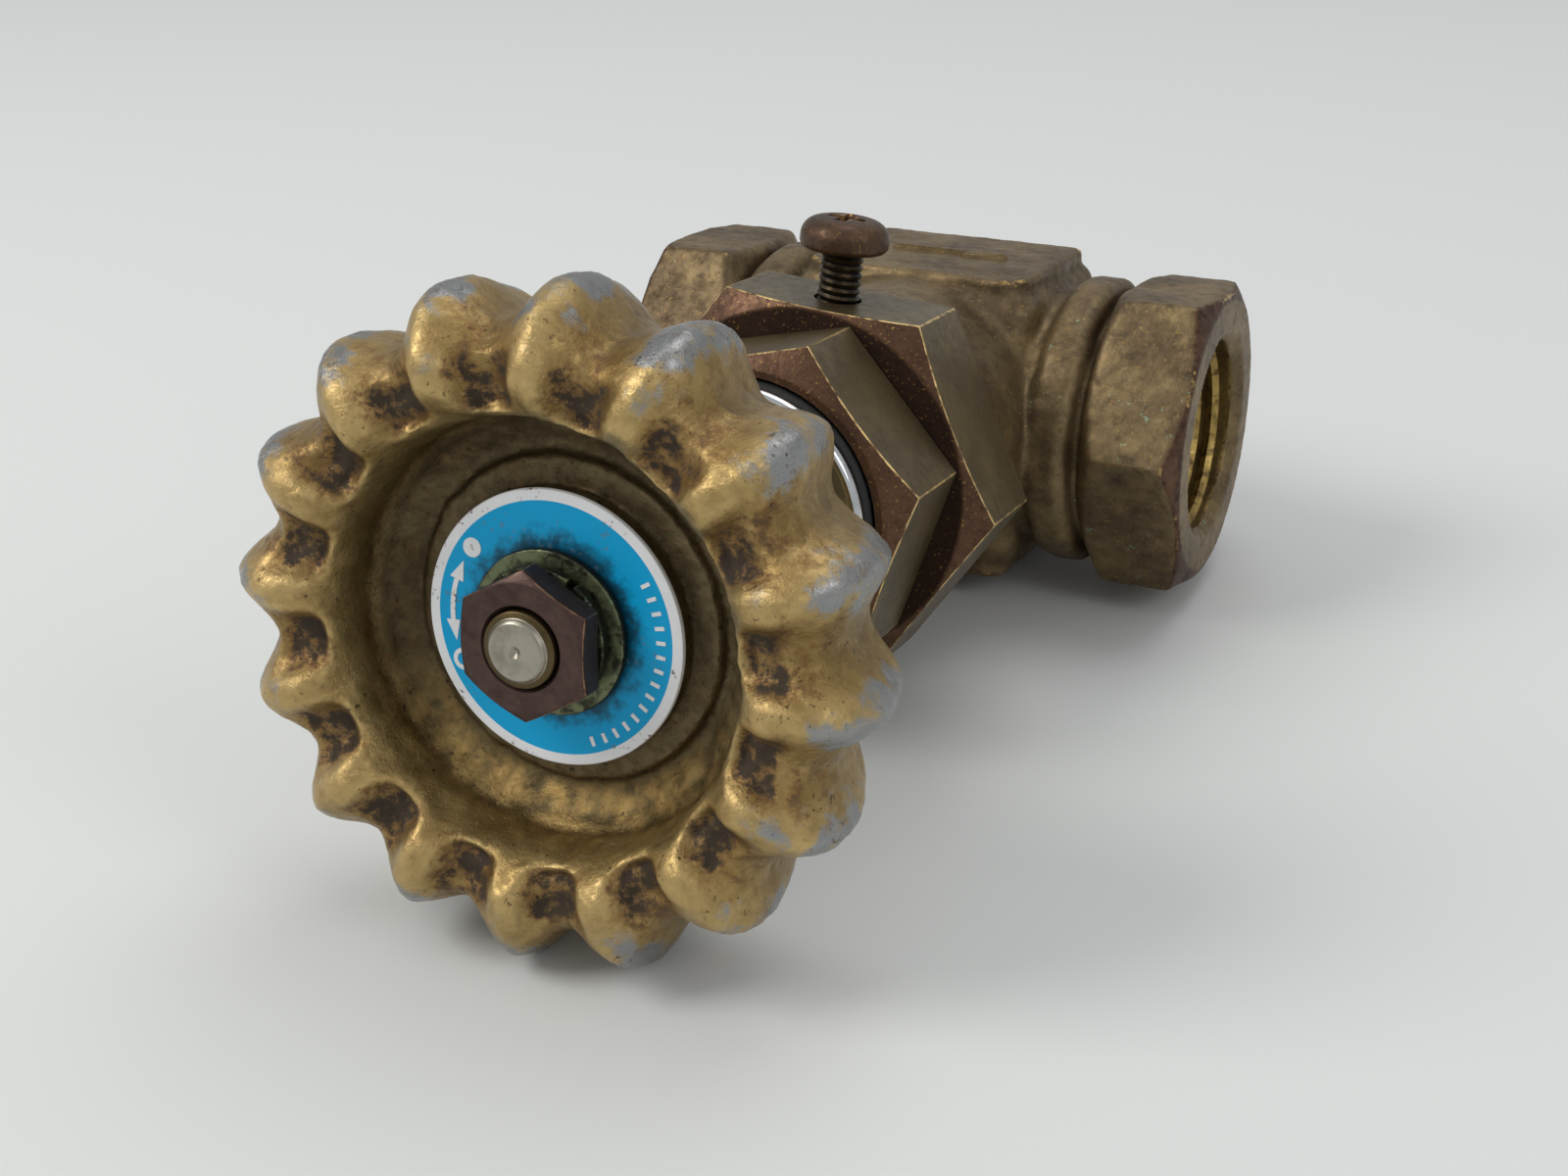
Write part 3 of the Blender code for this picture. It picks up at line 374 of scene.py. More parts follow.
def make_materials():
    """Every finish by its short name. Tones run dark, middle, light."""
    forged = ("2B2119", "5A4A37", "917C57")
    milled = ("362C21", "5A4E3A", "7C6D4E")
    lathed = ("2A1B14", "4D3527", "6B4E3A")
    tapped = ("2A2015", "57452A", "8A733F")
    bright = ("7A6238", "B3924E", "CDB06A")
    plum = ("281C1A", "41302B", "5A453F")
    greened = ("10110C", "1D1E16", "323224")
    browned = ("241A14", "453226", "634B38")
    blacked = ("0C0B09", "14110E", "211B15")
    return {
        # Tumbled forging skin, dull and rough, verdigris in its hollows, its port faces turned.
        "forged": aged_brass(
            "forged_brass_tumbled", VALVE, forged, 1.3,
            verdigris=0.7, gold=0.4, wear="B99A5E", pits=0.7, gloss=0.46, cut=lathed,
        ),
        # Milled flats, with the cutter's lines along the stem.
        "milled": aged_brass(
            "milled_brass_flats", STEM, milled, 1.0, (0.25, 0.25, 9.0), gold=0.2, wear="DDBE80", gloss=0.36
        ),
        # Turned faces, red-brown with age and flecked with bright brass.
        "turned": aged_brass("turned_brass_faces", STEM, lathed, 0.9, gold=0.5, wear="DDBE80", pits=0.4),
        "thread": aged_brass("tapped_brass_thread", VALVE, tapped, 0.8, gold=0.2, wear="AE9252"),
        "inner": aged_brass("machined_brass_inside", STEM, bright, 1.5, (0.3, 0.3, 6.0)),
        "wheel": painted_casting(),
        "blue": printed("blue_ink_on_aluminium", "00A0D6", 0.45),
        "white": printed("white_ink_on_aluminium", "E6E7E9", 0.9),
        "chrome": plain_metal("polished_chrome_plate", "D8DADC", "AEB0B2", 0.06, depth=0.001),
        "stem": plain_metal("turned_stainless_steel", "A5A093", "7C7567", 0.34, (0.4, 0.4, 7.0)),
        # the thread by the nut is dark: partly oil, partly painted shade where it comes out of the nut
        "stem_thread": plain_metal("oil_and_painted_shade_stem_thread", "5E5138", "2C261C", 0.4),
        # Steel browned to plum, its corners barely worn.
        "nut": aged_brass(
            "plum_browned_steel_nut", STEM, plum, 0.8, (0.5, 0.5, 4.0), gold=0.05, wear="97785F"
        ),
        # Steel washers under a green-black film of oil.
        "washer": aged_brass(
            "greened_steel_washer", STEM, greened, 0.8, verdigris=0.3, gold=0.1, wear="6C7355"
        ),
        "screw": aged_brass("browned_steel_screw", LOCK, browned, 0.8, gold=0.3, wear="B98F58", pits=0.5),
        "screw_thread": aged_brass(
            "blackened_screw_thread", LOCK, blacked, 0.7, verdigris=0.3, gold=0.1, wear="40331F"
        ),
        "copper": plain_metal("annealed_copper_gasket", "A8714E", "6B4431", 0.4),
        "rubber": soft_stuff("black_nitrile_rubber", "141414", "2B2A28", 0.6, 0.5),
        "fibre": soft_stuff("graphited_packing_braid", "303032", "4A4A4C", 0.75, 0.6, 0.06),
        "ptfe": soft_stuff("white_ptfe", "E6E6E2", "D6D6D0", 0.45, 1.0),
    }


# ---- mesh builders ----


def finished(name, data, place, materials):
    """An object of a mesh drawn in a local frame, its place baked into the mesh and its edges kept sharp."""
    data.transform(place)
    data.shade_smooth()
    data.set_sharp_from_angle(angle=math.radians(35))
    for one in materials:
        data.materials.append(one)
    return loose(data, name)


def fitted(name, data, place, materials, body, node=None):
    """A finished piece that rides on a body, in place of a CAD node if one is named."""
    piece = finished(name, data, place, materials)
    if node:
        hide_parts(node)
    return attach(piece, body)


def second_material(data, chosen):
    """Gives the faces that are chosen a piece's second material, and the others its first."""
    data.polygons.foreach_set("material_index", np.where(chosen, 1, 0).astype(np.int32))


def soften(profile, radius, steps=3, closed=True):
    """The profile with each corner rounded off, by radius or by less where its sides are short."""
    points = [Vector(point) for point in profile]
    count = len(points)
    found = []
    for k, corner in enumerate(points):
        before, after = points[k - 1], points[(k + 1) % count]
        open_end = not closed and k in (0, count - 1)
        first, second = before - corner, after - corner
        if open_end or corner.x == 0 or abs(first.normalized().dot(second.normalized())) > 0.985:
            found.append(tuple(corner))
            continue
        reach = min(radius, 0.42 * first.length, 0.42 * second.length)
        start, end = corner + first.normalized() * reach, corner + second.normalized() * reach
        for step in range(steps + 1):
            t = step / steps
            found.append(tuple(start * (1 - t) ** 2 + corner * 2 * t * (1 - t) + end * t ** 2))
    return found


def evenly(steps):
    """Angles round a full turn."""
    return [2 * math.pi * k / steps for k in range(steps)]


def corner_columns(flats_count, turn, per_flat, half_bevel=0.005, support=0.014):
    """Angles for a prism: two columns close together at each corner, with a support column beside each."""
    found, marks = [], []
    wide = 2 * math.pi / flats_count
    for k in range(flats_count):
        start = math.radians(turn) + wide * k
        inner = [support + (wide - 2 * support) * j / per_flat for j in range(per_flat + 1)]
        for at in [half_bevel, *inner, wide - half_bevel]:
            found.append(start + at)
            marks.append(1.0 if at in (half_bevel, wide - half_bevel) else 0.0)
    return found, marks


def prism_radius(flats, sides, turn):
    """Radius of a regular prism at an angle; turn is where a corner lies, in degrees."""
    wide = 2 * math.pi / sides
    return lambda angle: flats / 2 / math.cos((angle - math.radians(turn)) % wide - wide / 2)


def turned(rows, angles=None, column_marks=None, closed=True):
    """A mesh turned round Z, in mm, with its vertices' wear marks.

    A row is (radius, height, wear, corners); radius and height may be functions of the angle, and corners
    says how much of the wear along a prism's corners it shows.
    """
    angles = angles or evenly(128)
    column_marks = column_marks or [0.0] * len(angles)
    rows = [(*row, 0.0, 0.0)[:4] for row in rows]
    points, marks = [], []
    for angle, column_mark in zip(angles, column_marks):
        for radius, height, wear, corners in rows:
            r = radius(angle) if callable(radius) else radius
            h = height(angle) if callable(height) else height
            points.append((r * math.cos(angle), r * math.sin(angle), h))
            marks.append(max(wear, column_mark * corners))
    count, columns = len(rows), len(angles)
    faces = []
    for c in range(columns):
        here, there = c * count, (c + 1) % columns * count
        for r in range(count if closed else count - 1):
            up = (r + 1) % count
            faces.append((here + r, there + r, there + up, here + up))
    data = bpy.data.meshes.new("turned")
    data.from_pydata(points, [], faces)
    mark(data, "worn", marks)
    return closed_up(data)


def mark(data, name, values):
    """Stores a value for each vertex under a name that a material can read."""
    found = data.attributes.get(name) or data.attributes.new(name, "FLOAT", "POINT")
    found.data.foreach_set("value", values)


def read(items, name, width, kind=float):
    """One property of every vertex or edge, a row for each."""
    values = np.empty(len(items) * width, kind)
    items.foreach_get(name, values)
    return values.reshape(-1, width)


def closed_up(data):
    """Merges a mesh's doubled points, such as its poles, and turns its faces outwards."""
    mesh = bmesh.new()
    mesh.from_mesh(data)
    bmesh.ops.remove_doubles(mesh, verts=mesh.verts, dist=1e-4)
    bmesh.ops.recalc_face_normals(mesh, faces=mesh.faces)
    mesh.to_mesh(data)
    mesh.free()
    return data


def hexagon_rows(flats, turn, low, high, face_r, low_r):
    """Rows up a hexagon whose high end is turned back to face_r; they start and end on its end faces."""
    around = prism_radius(flats, 6, turn)
    slope = math.tan(CHAMFER)
    edge, support = 0.06, 0.22

    def meets(angle):
        """The height at which the turned cone meets the flat."""
        return high - max(0.0, around(angle) - face_r) * slope

    def on_flat(back):
        return lambda angle: meets(angle) - min(back, 0.3 * (meets(angle) - low))

    def inset(back):
        return lambda angle: around(angle) - back

    def cone(share_of):
        """A point on the turned cone; share_of gives how far in from the flat it lies, mm."""

        def radius(angle):
            length = max(0.001, around(angle) - face_r)
            return face_r + length - share_of(length)

        return radius, lambda angle: high - max(0.0, radius(angle) - face_r) * slope

    return [
        (low_r, low, 0.0),
        (inset(0.5), low, 0.0),
        (inset(edge), low, 0.7),
        (around, low + edge, 0.7, 1.0),
        (around, low + support, 0.0, 1.0),
        (around, on_flat(support), 0.0, 1.0),
        (around, on_flat(edge), 1.0, 1.0),
        (*cone(lambda length: min(edge, 0.25 * length)), 1.0),
        (*cone(lambda length: min(support, 0.45 * length)), 0.0),
        (*cone(lambda length: length - min(support, 0.3 * length)), 0.0),
        (*cone(lambda length: length - min(edge, 0.1 * length)), 0.5),
        (face_r - edge, high, 0.5),
        (face_r - support - edge, high, 0.0),
    ]


def smoothed(points, edges, rounds):
    """Points drawn towards the mean of their neighbours, some rounds over."""
    count = len(points)
    ends = np.concatenate([edges[:, 0], edges[:, 1]])
    others = np.concatenate([edges[:, 1], edges[:, 0]])
    share = np.maximum(np.bincount(ends, minlength=count), 1)[:, None]
    for _ in range(rounds):
        pulled = np.stack([np.bincount(ends, points[others, k], count) for k in range(3)], axis=1) / share
        points = 0.5 * points + 0.5 * pulled
    return points


def mark_relief(data, rounds, reach, keep_worn=False):
    """Writes where a mesh stands proud ("worn") and where it is sunk ("hollow"); full at reach mm."""
    points, normals = read(data.vertices, "co", 3), read(data.vertices, "normal", 3)
    edges = read(data.edges, "vertices", 2, np.int64)
    rise = ((points - smoothed(points, edges, rounds)) * normals).sum(axis=1)
    if not keep_worn:
        mark(data, "worn", np.clip(rise / reach, 0, 1) ** 1.3)
    mark(data, "hollow", np.clip(-rise / reach, 0, 1) ** 1.3)


def cut_out(piece, *cutters):
    """Cuts shapes from a piece and applies the cuts; every mesh is in the same local frame."""
    for cutter in cutters:
        modifier = piece.modifiers.new("cut", "BOOLEAN")
        modifier.operation = "DIFFERENCE"
        modifier.solver = "EXACT"
        modifier.object = cutter
    data = baked(piece)
    for cutter in cutters:
        bpy.data.objects.remove(cutter)
    return data


def baked(piece):
    """The piece's evaluated mesh as plain data; the object itself goes."""
    graph = bpy.context.evaluated_depsgraph_get()
    data = bpy.data.meshes.new_from_object(piece.evaluated_get(graph), depsgraph=graph)
    bpy.data.objects.remove(piece)
    return data


def loose(data, name="working"):
    """An object round a mesh, lamp or camera, in the scene."""
    made = bpy.data.objects.new(name, data)
    bpy.context.scene.collection.objects.link(made)
    return made


def grown(data, tree, values):
    """The mesh that a Geometry Nodes tree makes of another, its inputs set by name."""
    piece = loose(data)
    modifier = piece.modifiers.new("grow", "NODES")
    modifier.node_group = tree
    for item in tree.interface.items_tree:
        if item.item_type == "SOCKET" and item.in_out == "INPUT" and item.name in values:
            modifier[item.identifier] = values[item.name]
    bpy.context.view_layer.update()
    return baked(piece)


def new_tree(name, inputs):
    """An empty geometry tree with its named inputs, and the output of its group input for each."""
    tree = bpy.data.node_groups.new(name, "GeometryNodeTree")
    tree.interface.new_socket("Geometry", in_out="INPUT", socket_type="NodeSocketGeometry")
    for key, kind in inputs.items():
        tree.interface.new_socket(key, in_out="INPUT", socket_type=kind)
    tree.interface.new_socket("Geometry", in_out="OUTPUT", socket_type="NodeSocketGeometry")
    given = tree.nodes.new("NodeGroupInput").outputs
    return tree, {key: given[key] for key in ["Geometry", *inputs]}


def close_tree(tree, geometry, material):
    """Ends a geometry tree: instances made real, one material set."""
    geometry = add(tree, "GeometryNodeRealizeInstances", {"Geometry": geometry})
    geometry = add(tree, "GeometryNodeSetMaterial", {"Geometry": geometry, "Material": material})
    add(tree, "NodeGroupOutput", {"Geometry": geometry})


FLOAT = "NodeSocketFloat"
WHOLE = "NodeSocketInt"
MATERIAL = "NodeSocketMaterial"


# ---- forged body, drawn as a distance field that the CAD solid's own surface is drawn onto ----

PORT_FLATS = 28.0
PORT_HEX_LENGTH = 9.9
PORT_THREAD_R = 9.4
PORT_THREAD_DEPTH = 13.0
PORT_FACE_R = PORT_FLATS / 2 - 0.3  # where the turning of each port's outer corners starts
COLLAR_R = 15.7
COLLAR_WIDTH = 4.1
SHOULDER_R = 13.2
GROOVE_R = 13.4
GROOVE_WIDTH = 0.9
BARREL_FLATTENING = 0.9
NECK_R = 14.2
BLOCK_LOW = (-12.5, -11.2, -13.8)
BLOCK_HIGH = (12.5, 12.0, 13.8)
PAD_HALF_LENGTH = 11.5
PAD_HALF_WIDTH = 11.0
PAD_MIDDLE = 0.4  # the pads lie this far behind the run's axis
PAD_HALF_HEIGHT = 15.0
PAD_CORNER = 3.0


def rounded_off(q, radius):
    """Distance to a box or drum from how far q a point lies past each of its faces."""
    return np.linalg.norm(np.maximum(q, 0), axis=1) + np.minimum(q.max(axis=1), 0) - radius


def box_field(p, low, high, radius):
    """A box with rounded edges."""
    low, high = np.array(low), np.array(high)
    return rounded_off(np.abs(p - (low + high) / 2) - (high - low) / 2 + radius, radius)


def drum_field(radial, along, radius, half, edge):
    """A round drum, of a given half length along its axis, its edges rounded off."""
    return rounded_off(np.stack([radial - radius + edge, np.abs(along) - half + edge], axis=1), edge)


def joined(a, b, fillet):
    """Two fields united with a fillet between them."""
    h = np.clip(0.5 + 0.5 * (b - a) / fillet, 0, 1)
    return b * (1 - h) + a * h - fillet * h * (1 - h)


def common(a, b, edge):
    """What two fields share, its edges rounded off."""
    return -joined(-a, -b, edge)


def pad_field(p):
    """The raised pads above and below the block: a low box with wide corners in plan."""
    x, y, _ = p.T
    half = np.array((PAD_HALF_LENGTH, PAD_HALF_WIDTH, PAD_HALF_HEIGHT))
    middle = np.array((0, PAD_MIDDLE, 0))
    pads = box_field(p, middle - half, middle + half, 0.7)
    past_x = np.maximum(np.abs(x) - PAD_HALF_LENGTH + PAD_CORNER, 0)
    past_y = np.maximum(np.abs(y - PAD_MIDDLE) - PAD_HALF_WIDTH + PAD_CORNER, 0)
    half[2] = 1
    plan = box_field(p * (1, 1, 0), middle - half, middle + half, 0.99)
    return common(common(pads, np.hypot(past_x, past_y) - PAD_CORNER, 0.3), plan, 0.2)


def port_cone(run, radius):
    """How far outside the cone that turns back a port's outer corners."""
    return (radius - PORT_FACE_R) * math.sin(CHAMFER) + (run - HALF_LENGTH) * math.cos(CHAMFER)


def body_field(p):
    """Signed distance to the forged body, in mm in the valve frame: less than 0 inside."""
    x, y, z = p.T
    run, radius = np.abs(x), np.hypot(y, z)
    oval = np.hypot(y, z / BARREL_FLATTENING)
    hex_in = HALF_LENGTH - PORT_HEX_LENGTH
    middle = hex_in - GROOVE_WIDTH - COLLAR_WIDTH / 2
    half_neck = NECK_MOUTH / 2
    sixth = math.radians(60)
    flats = np.maximum(np.abs(z), np.abs(y) * math.sin(sixth) + np.abs(z) * math.cos(sixth)) - PORT_FLATS / 2
    inner_cone = (radius - PORT_FACE_R) * math.sin(CHAMFER) + (hex_in - run) * math.cos(CHAMFER)
    ends = np.maximum(run - HALF_LENGTH, hex_in - 0.05 - run)
    hexes = common(common(flats, inner_cone, 0.7), common(port_cone(run, radius), ends, 0.15), 0.25)
    solid = box_field(p, BLOCK_LOW, BLOCK_HIGH, 2.4)
    for form, fillet in (
        (drum_field(oval, x, SHOULDER_R, middle, 0.5), 2.0),
        (drum_field(np.hypot(x, z), y + half_neck, NECK_R, half_neck, 0.4), 2.2),
        (drum_field(oval, run - middle, COLLAR_R, COLLAR_WIDTH / 2, 1.3), 2.0),
        (drum_field(oval, x, GROOVE_R, hex_in + 1, 0.2), 1.0),
        (hexes, 0.5),
        (pad_field(p), 0.5),
    ):
        solid = joined(solid, form, fillet)
    mouth = (radius - PORT_THREAD_R - 1 + (HALF_LENGTH - run)) / math.sqrt(2)
    bore_floor = HALF_LENGTH - PORT_THREAD_DEPTH
    bore = np.maximum(np.minimum(radius - PORT_THREAD_R, mouth), bore_floor - run)
    return common(solid, -bore, 0.12)


# The forging's unevenness: (size across, height), mm, with so many waves of each.
SWELLS = ((7.0, 0.09), (2.6, 0.035), (1.1, 0.02))
SWELL_WAVES = 5


def onto_field(points, field, rounds, limit):
    """Moves points onto a field's zero surface; those further off than limit stay."""
    step = 0.02
    close = np.abs(field(points)) < limit
    held = points[close]
    for _ in range(rounds):
        value = field(held)
        slope = np.stack([(field(held + step * axis) - value) / step for axis in np.eye(3)], axis=1)
        size = np.maximum((slope ** 2).sum(axis=1), 0.2)
        held = held - np.clip(value / size, -0.35, 0.35)[:, None] * slope
    points = points.copy()
    points[close] = held
    return points, close


def make_body(finishes):
    """The forging: the CAD solid, remeshed, drawn onto a filleted form, and roughened where it isn't cut."""
    data = frame["nodes"]["valve_body"].data.copy()
    data.transform(VALVE.inverted())
    data.materials.clear()
    closed_up(data)
    piece = loose(data)
    remesh = piece.modifiers.new("fine", "REMESH")
    remesh.mode = "VOXEL"
    remesh.voxel_size = 0.4
    data = baked(piece)
    edges = read(data.edges, "vertices", 2, np.int64)
    points, _ = onto_field(read(data.vertices, "co", 3), body_field, 6, 1.6)
    points, near = onto_field(smoothed(points, edges, 2), body_field, 5, 1.0)
    data.vertices.foreach_set("co", points.ravel())
    mark_relief(data, 10, 0.28)
    x, y, z = points.T
    run, radius = np.abs(x), np.hypot(y, z)
    cut_face = near & ((run > HALF_LENGTH - 0.15) | ((radius < PORT_THREAD_R + 1.1) & (run > 10)))
    swell = np.zeros(len(points))
    rng = np.random.default_rng(SEED)
    for size, depth in SWELLS:
        for _ in range(SWELL_WAVES):
            way = rng.normal(size=3)
            wave = points @ (way / np.linalg.norm(way)) * 2 * math.pi / size
            swell += depth * np.sin(wave + rng.uniform(0, 6.28)) / 3
    rough = np.where(near & ~cut_face, 1.0, 0.0)
    swell *= smoothed(rough[:, None] * np.ones(3), edges, 2)[:, 0]
    lifted = points + read(data.vertices, "normal", 3) * swell[:, None]
    data.vertices.foreach_set("co", lifted.ravel())
    data.update()
    cut = np.clip((port_cone(run, radius) + 0.3) / 0.3, 0, 1)
    mark(data, "cut", cut * np.where(near & (radius > PORT_THREAD_R + 0.05), 1.0, 0.0))
    body = finished("forged_body", data, VALVE, [finishes["forged"], finishes["thread"]])
    tapped = (radius < PORT_THREAD_R + 0.15) & (run > 12)
    second_material(data, [round(np.mean([tapped[v] for v in face.vertices])) for face in data.polygons])
    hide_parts("valve_body")
    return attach(body, "root")


# ---- threads, each one helical ridge ----


def ridge_tree():
    """A helical ridge round Z: a spiral with a six-sided section along it."""
    floats = ("Turns", "Pitch", "Radius", "Ridge")
    inputs = {**{key: FLOAT for key in floats}, "Steps a Turn": WHOLE, "Finish": MATERIAL}
    tree, given = new_tree("helical ridge", inputs)
    feeds = {
        "Resolution": given["Steps a Turn"],
        "Rotations": given["Turns"],
        "Start Radius": given["Radius"],
        "End Radius": given["Radius"],
        "Height": times(tree, given["Turns"], given["Pitch"]),
    }
    spiral = add(tree, "GeometryNodeCurveSpiral", feeds)
    upright = add(tree, "GeometryNodeSetCurveNormal", {"Curve": spiral}, mode="Z_UP")
    feeds = {"Resolution": 6, "Radius": given["Ridge"]}
    section = add(tree, "GeometryNodeCurvePrimitiveCircle", feeds, mode="RADIUS")
    feeds = {"Curve": upright, "Profile Curve": section, "Fill Caps": True}
    close_tree(tree, add(tree, "GeometryNodeCurveToMesh", feeds), given["Finish"])
    return tree


def make_thread(name, tree, place, start, size, material, body):
    """One ridge from a height upwards; size is its length, radius, pitch, ridge radius and steps a turn."""
    length, radius, pitch, ridge, steps = size
    values = {
        "Turns": length / pitch,
        "Pitch": pitch,
        "Radius": radius,
        "Ridge": ridge,
        "Steps a Turn": steps,
        "Finish": material,
    }
    data = grown(bpy.data.meshes.new(name), tree, values)
    data.transform(Matrix.Translation((0, 0, start)))
    closed_up(data)
    mark_relief(data, 3, ridge * 0.3)
    data.materials.clear()
    return fitted(name, data, place, [material], body)


def make_flow_arrow(finishes):
    """A plain raised arrow on the top pad, showing the flow."""
    outline = [(-6, -0.7), (2, -0.7), (2, -2.2), (6.5, 0), (2, 2.2), (2, 0.7), (-6, 0.7)]
    top = span("valve_body", VALVE)[1]
    data = plate([(x, y + PAD_MIDDLE) for x, y in outline], top - 0.3, top + 0.45)
    for vertex in data.vertices:
        if vertex.co.z > top:
            vertex.co.x *= 0.97
            vertex.co.y = PAD_MIDDLE + (vertex.co.y - PAD_MIDDLE) * 0.8
    mesh = bmesh.new()
    mesh.from_mesh(data)
    rims = [edge for edge in mesh.edges if max(vertex.co.z for vertex in edge.verts) > top]
    bmesh.ops.bevel(mesh, geom=rims, offset=0.18, segments=3, affect="EDGES")
    mesh.to_mesh(data)
    mesh.free()
    return fitted("flow_arrow", data, VALVE, [finishes["forged"]], "root")


def make_port_threads(finishes, tree):
    """Half-inch pipe thread, 14 to the inch, in both ports."""
    pitch = 25.4 / 14
    start = HALF_LENGTH - PORT_THREAD_DEPTH + 0.8
    size = (PORT_THREAD_DEPTH - 2.2, PORT_THREAD_R + 0.15, pitch, pitch * 0.38, 96)
    for name, way in (("right_port_thread", 1), ("left_port_thread", -1)):
        place = placed(CROSSING, VALVE.to_3x3() @ Vector((0, 0, 1)), RUN * way)
        make_thread(name, tree, place, start, size, finishes["thread"], "root")


# ---- bonnet and gland nut ----


def hex_piece(name, hexagon, inside, finishes, node, cutters=()):
    """A hexagon with a turned-back front edge, its bore and spigots drawn by inside, on the root body.

    hexagon is its width across flats, turn, low and high ends, and its front face's radius.
    """
    flats, turn = hexagon[:2]
    angles, marks = corner_columns(6, turn, 10)
    rows = hexagon_rows(*hexagon, inside[-1][0]) + [(*point, 0.0) for point in inside]
    data = turned(rows, angles, marks)
    if cutters:
        data = cut_out(loose(data), *cutters)
    mark_relief(data, 4, 0.3, keep_worn=True)

    def on_flat(face):
        return abs(face.normal.z) < 0.1 and math.hypot(face.center.x, face.center.y) > flats / 2 - 0.3

    second_material(data, [not on_flat(face) for face in data.polygons])
    return fitted(name, data, STEM, [finishes["milled"], finishes["turned"]], "root", node)


BONNET_FLATS = 32.0
BONNET_TURN = -4.3
GLAND_FLATS = 27.0
GLAND_TURN = 12.6
BOSS_R = 10.4
BOX_R = 7.2
STEM_BORE_R = 5.15
LOCK_HOLE_R = 2.15
SPIGOT_R = 10.8
SPIGOT_BORE_R = 8.5
SPIGOT_DEPTH = 4.6
DUST_SEAT_R = 12.1
SHANK_HOLE_R = 4.3  # in the gland nut and the dust cover


def make_bonnet(finishes):
    """The bonnet: packing box in front, stem bore through it, spigot behind, and the lock screw's hole."""
    box_floor = BONNET_FACE - 1.0
    spigot_floor = BONNET_BOTTOM + SPIGOT_DEPTH
    inside = soften(
        [
            (BOSS_R, BONNET_FACE), (BOSS_R, BOX_TOP), (BOX_R, BOX_TOP), (BOX_R, box_floor),
            (STEM_BORE_R, box_floor), (STEM_BORE_R, spigot_floor), (SPIGOT_BORE_R, spigot_floor),
            (SPIGOT_BORE_R, BONNET_BOTTOM), (SPIGOT_R, BONNET_BOTTOM), (SPIGOT_R, BONNET_SEAT),
        ],
        0.3,
        closed=False,
    )
    hole = loose(turned([(0, 0), (LOCK_HOLE_R, 0), (LOCK_HOLE_R, 20), (0, 20)], evenly(48), closed=False))
    hole.data.transform(STEM.inverted() @ LOCK)
    hexagon = (BONNET_FLATS, BONNET_TURN, BONNET_SEAT, BONNET_FACE, BONNET_FLATS / 2 - 0.1)
    hex_piece("bonnet_hex", hexagon, inside, finishes, "bonnet", [hole])


def make_gland(finishes):
    """The gland nut, with a seat for the dust cover in its face and room for the bonnet's boss behind."""
    bore = BOSS_R + 0.3
    shoulder = BOX_TOP + 1.6
    seal_floor = GLAND_FACE - 1.5
    inside = soften(
        [
            (DUST_SEAT_R, GLAND_FACE), (DUST_SEAT_R, seal_floor), (SHANK_HOLE_R, seal_floor),
            (SHANK_HOLE_R, shoulder), (bore, shoulder), (bore, GLAND_REAR),
        ],
        0.12,
        closed=False,
    )
    hexagon = (GLAND_FLATS, GLAND_TURN, GLAND_REAR, GLAND_FACE, GLAND_FLATS / 2 - 0.8)
    hex_piece("gland_hex", hexagon, inside, finishes, "gland_nut")


def round_piece(name, profile, radius, material, node, body, relief=0.12):
    """A turned ring whose corners are all eased, standing for one CAD node."""
    data = turned(soften(profile, radius))
    mark_relief(data, 3, relief)
    return fitted(name, data, STEM, [material], body, node)


def ring_profile(inner, outer, low, high):
    """A plain ring's section."""
    return [(inner, low), (outer, low), (outer, high), (inner, high)]


def make_dust_cover(finishes):
    """The polished ring in front of the gland, its rim rolled over, and the rubber lip behind it."""
    low, top, outer = span("dust_ring")
    seal_low, seal_top, seal_r = span("dust_seal")
    flange = seal_top + 0.3
    edge = (top - flange) / 2
    roll = ellipse_arc((outer - edge, flange + edge), (edge, edge), -90, 90, 8)
    neck = seal_r - 1.6
    profile = [
        (SHANK_HOLE_R, low), (neck, low), (neck, flange), *roll,
        (6.0, top), (5.7, top - 0.3), (SHANK_HOLE_R, top - 0.3),
    ]
    round_piece("dust_cover_ring", profile, 0.1, finishes["chrome"], "dust_ring", "root")
    lip = seal_r - 1.3
    profile = [
        (lip, seal_low), (seal_r, seal_low), (seal_r, seal_top - 0.5), (seal_r - 0.4, seal_top),
        (lip, seal_top),
    ]
    round_piece("dust_lip_seal", profile, 0.15, finishes["rubber"], "dust_seal", "root")
    low, top, outer = span("bonnet_gasket")
    profile = ring_profile(11.1, outer, low, top)
    round_piece("copper_gasket", profile, 0.3, finishes["copper"], "bonnet_gasket", "root")


# ---- stem ----

STEM_HEAD_R = 4.1
STEM_NECK_R = 2.9
STEM_R = 4.0
CORE_R = 4.6  # of the working thread, under its ridge's crest
CORE_START, CORE_END = 19.0, 30.5
SQUARE = 5.6
SQUARE_CORNER_R = 3.75
SQUARE_LENGTH = 6.8
TIP_THREAD_R = 2.9
TIP_POINT_R = 2.3


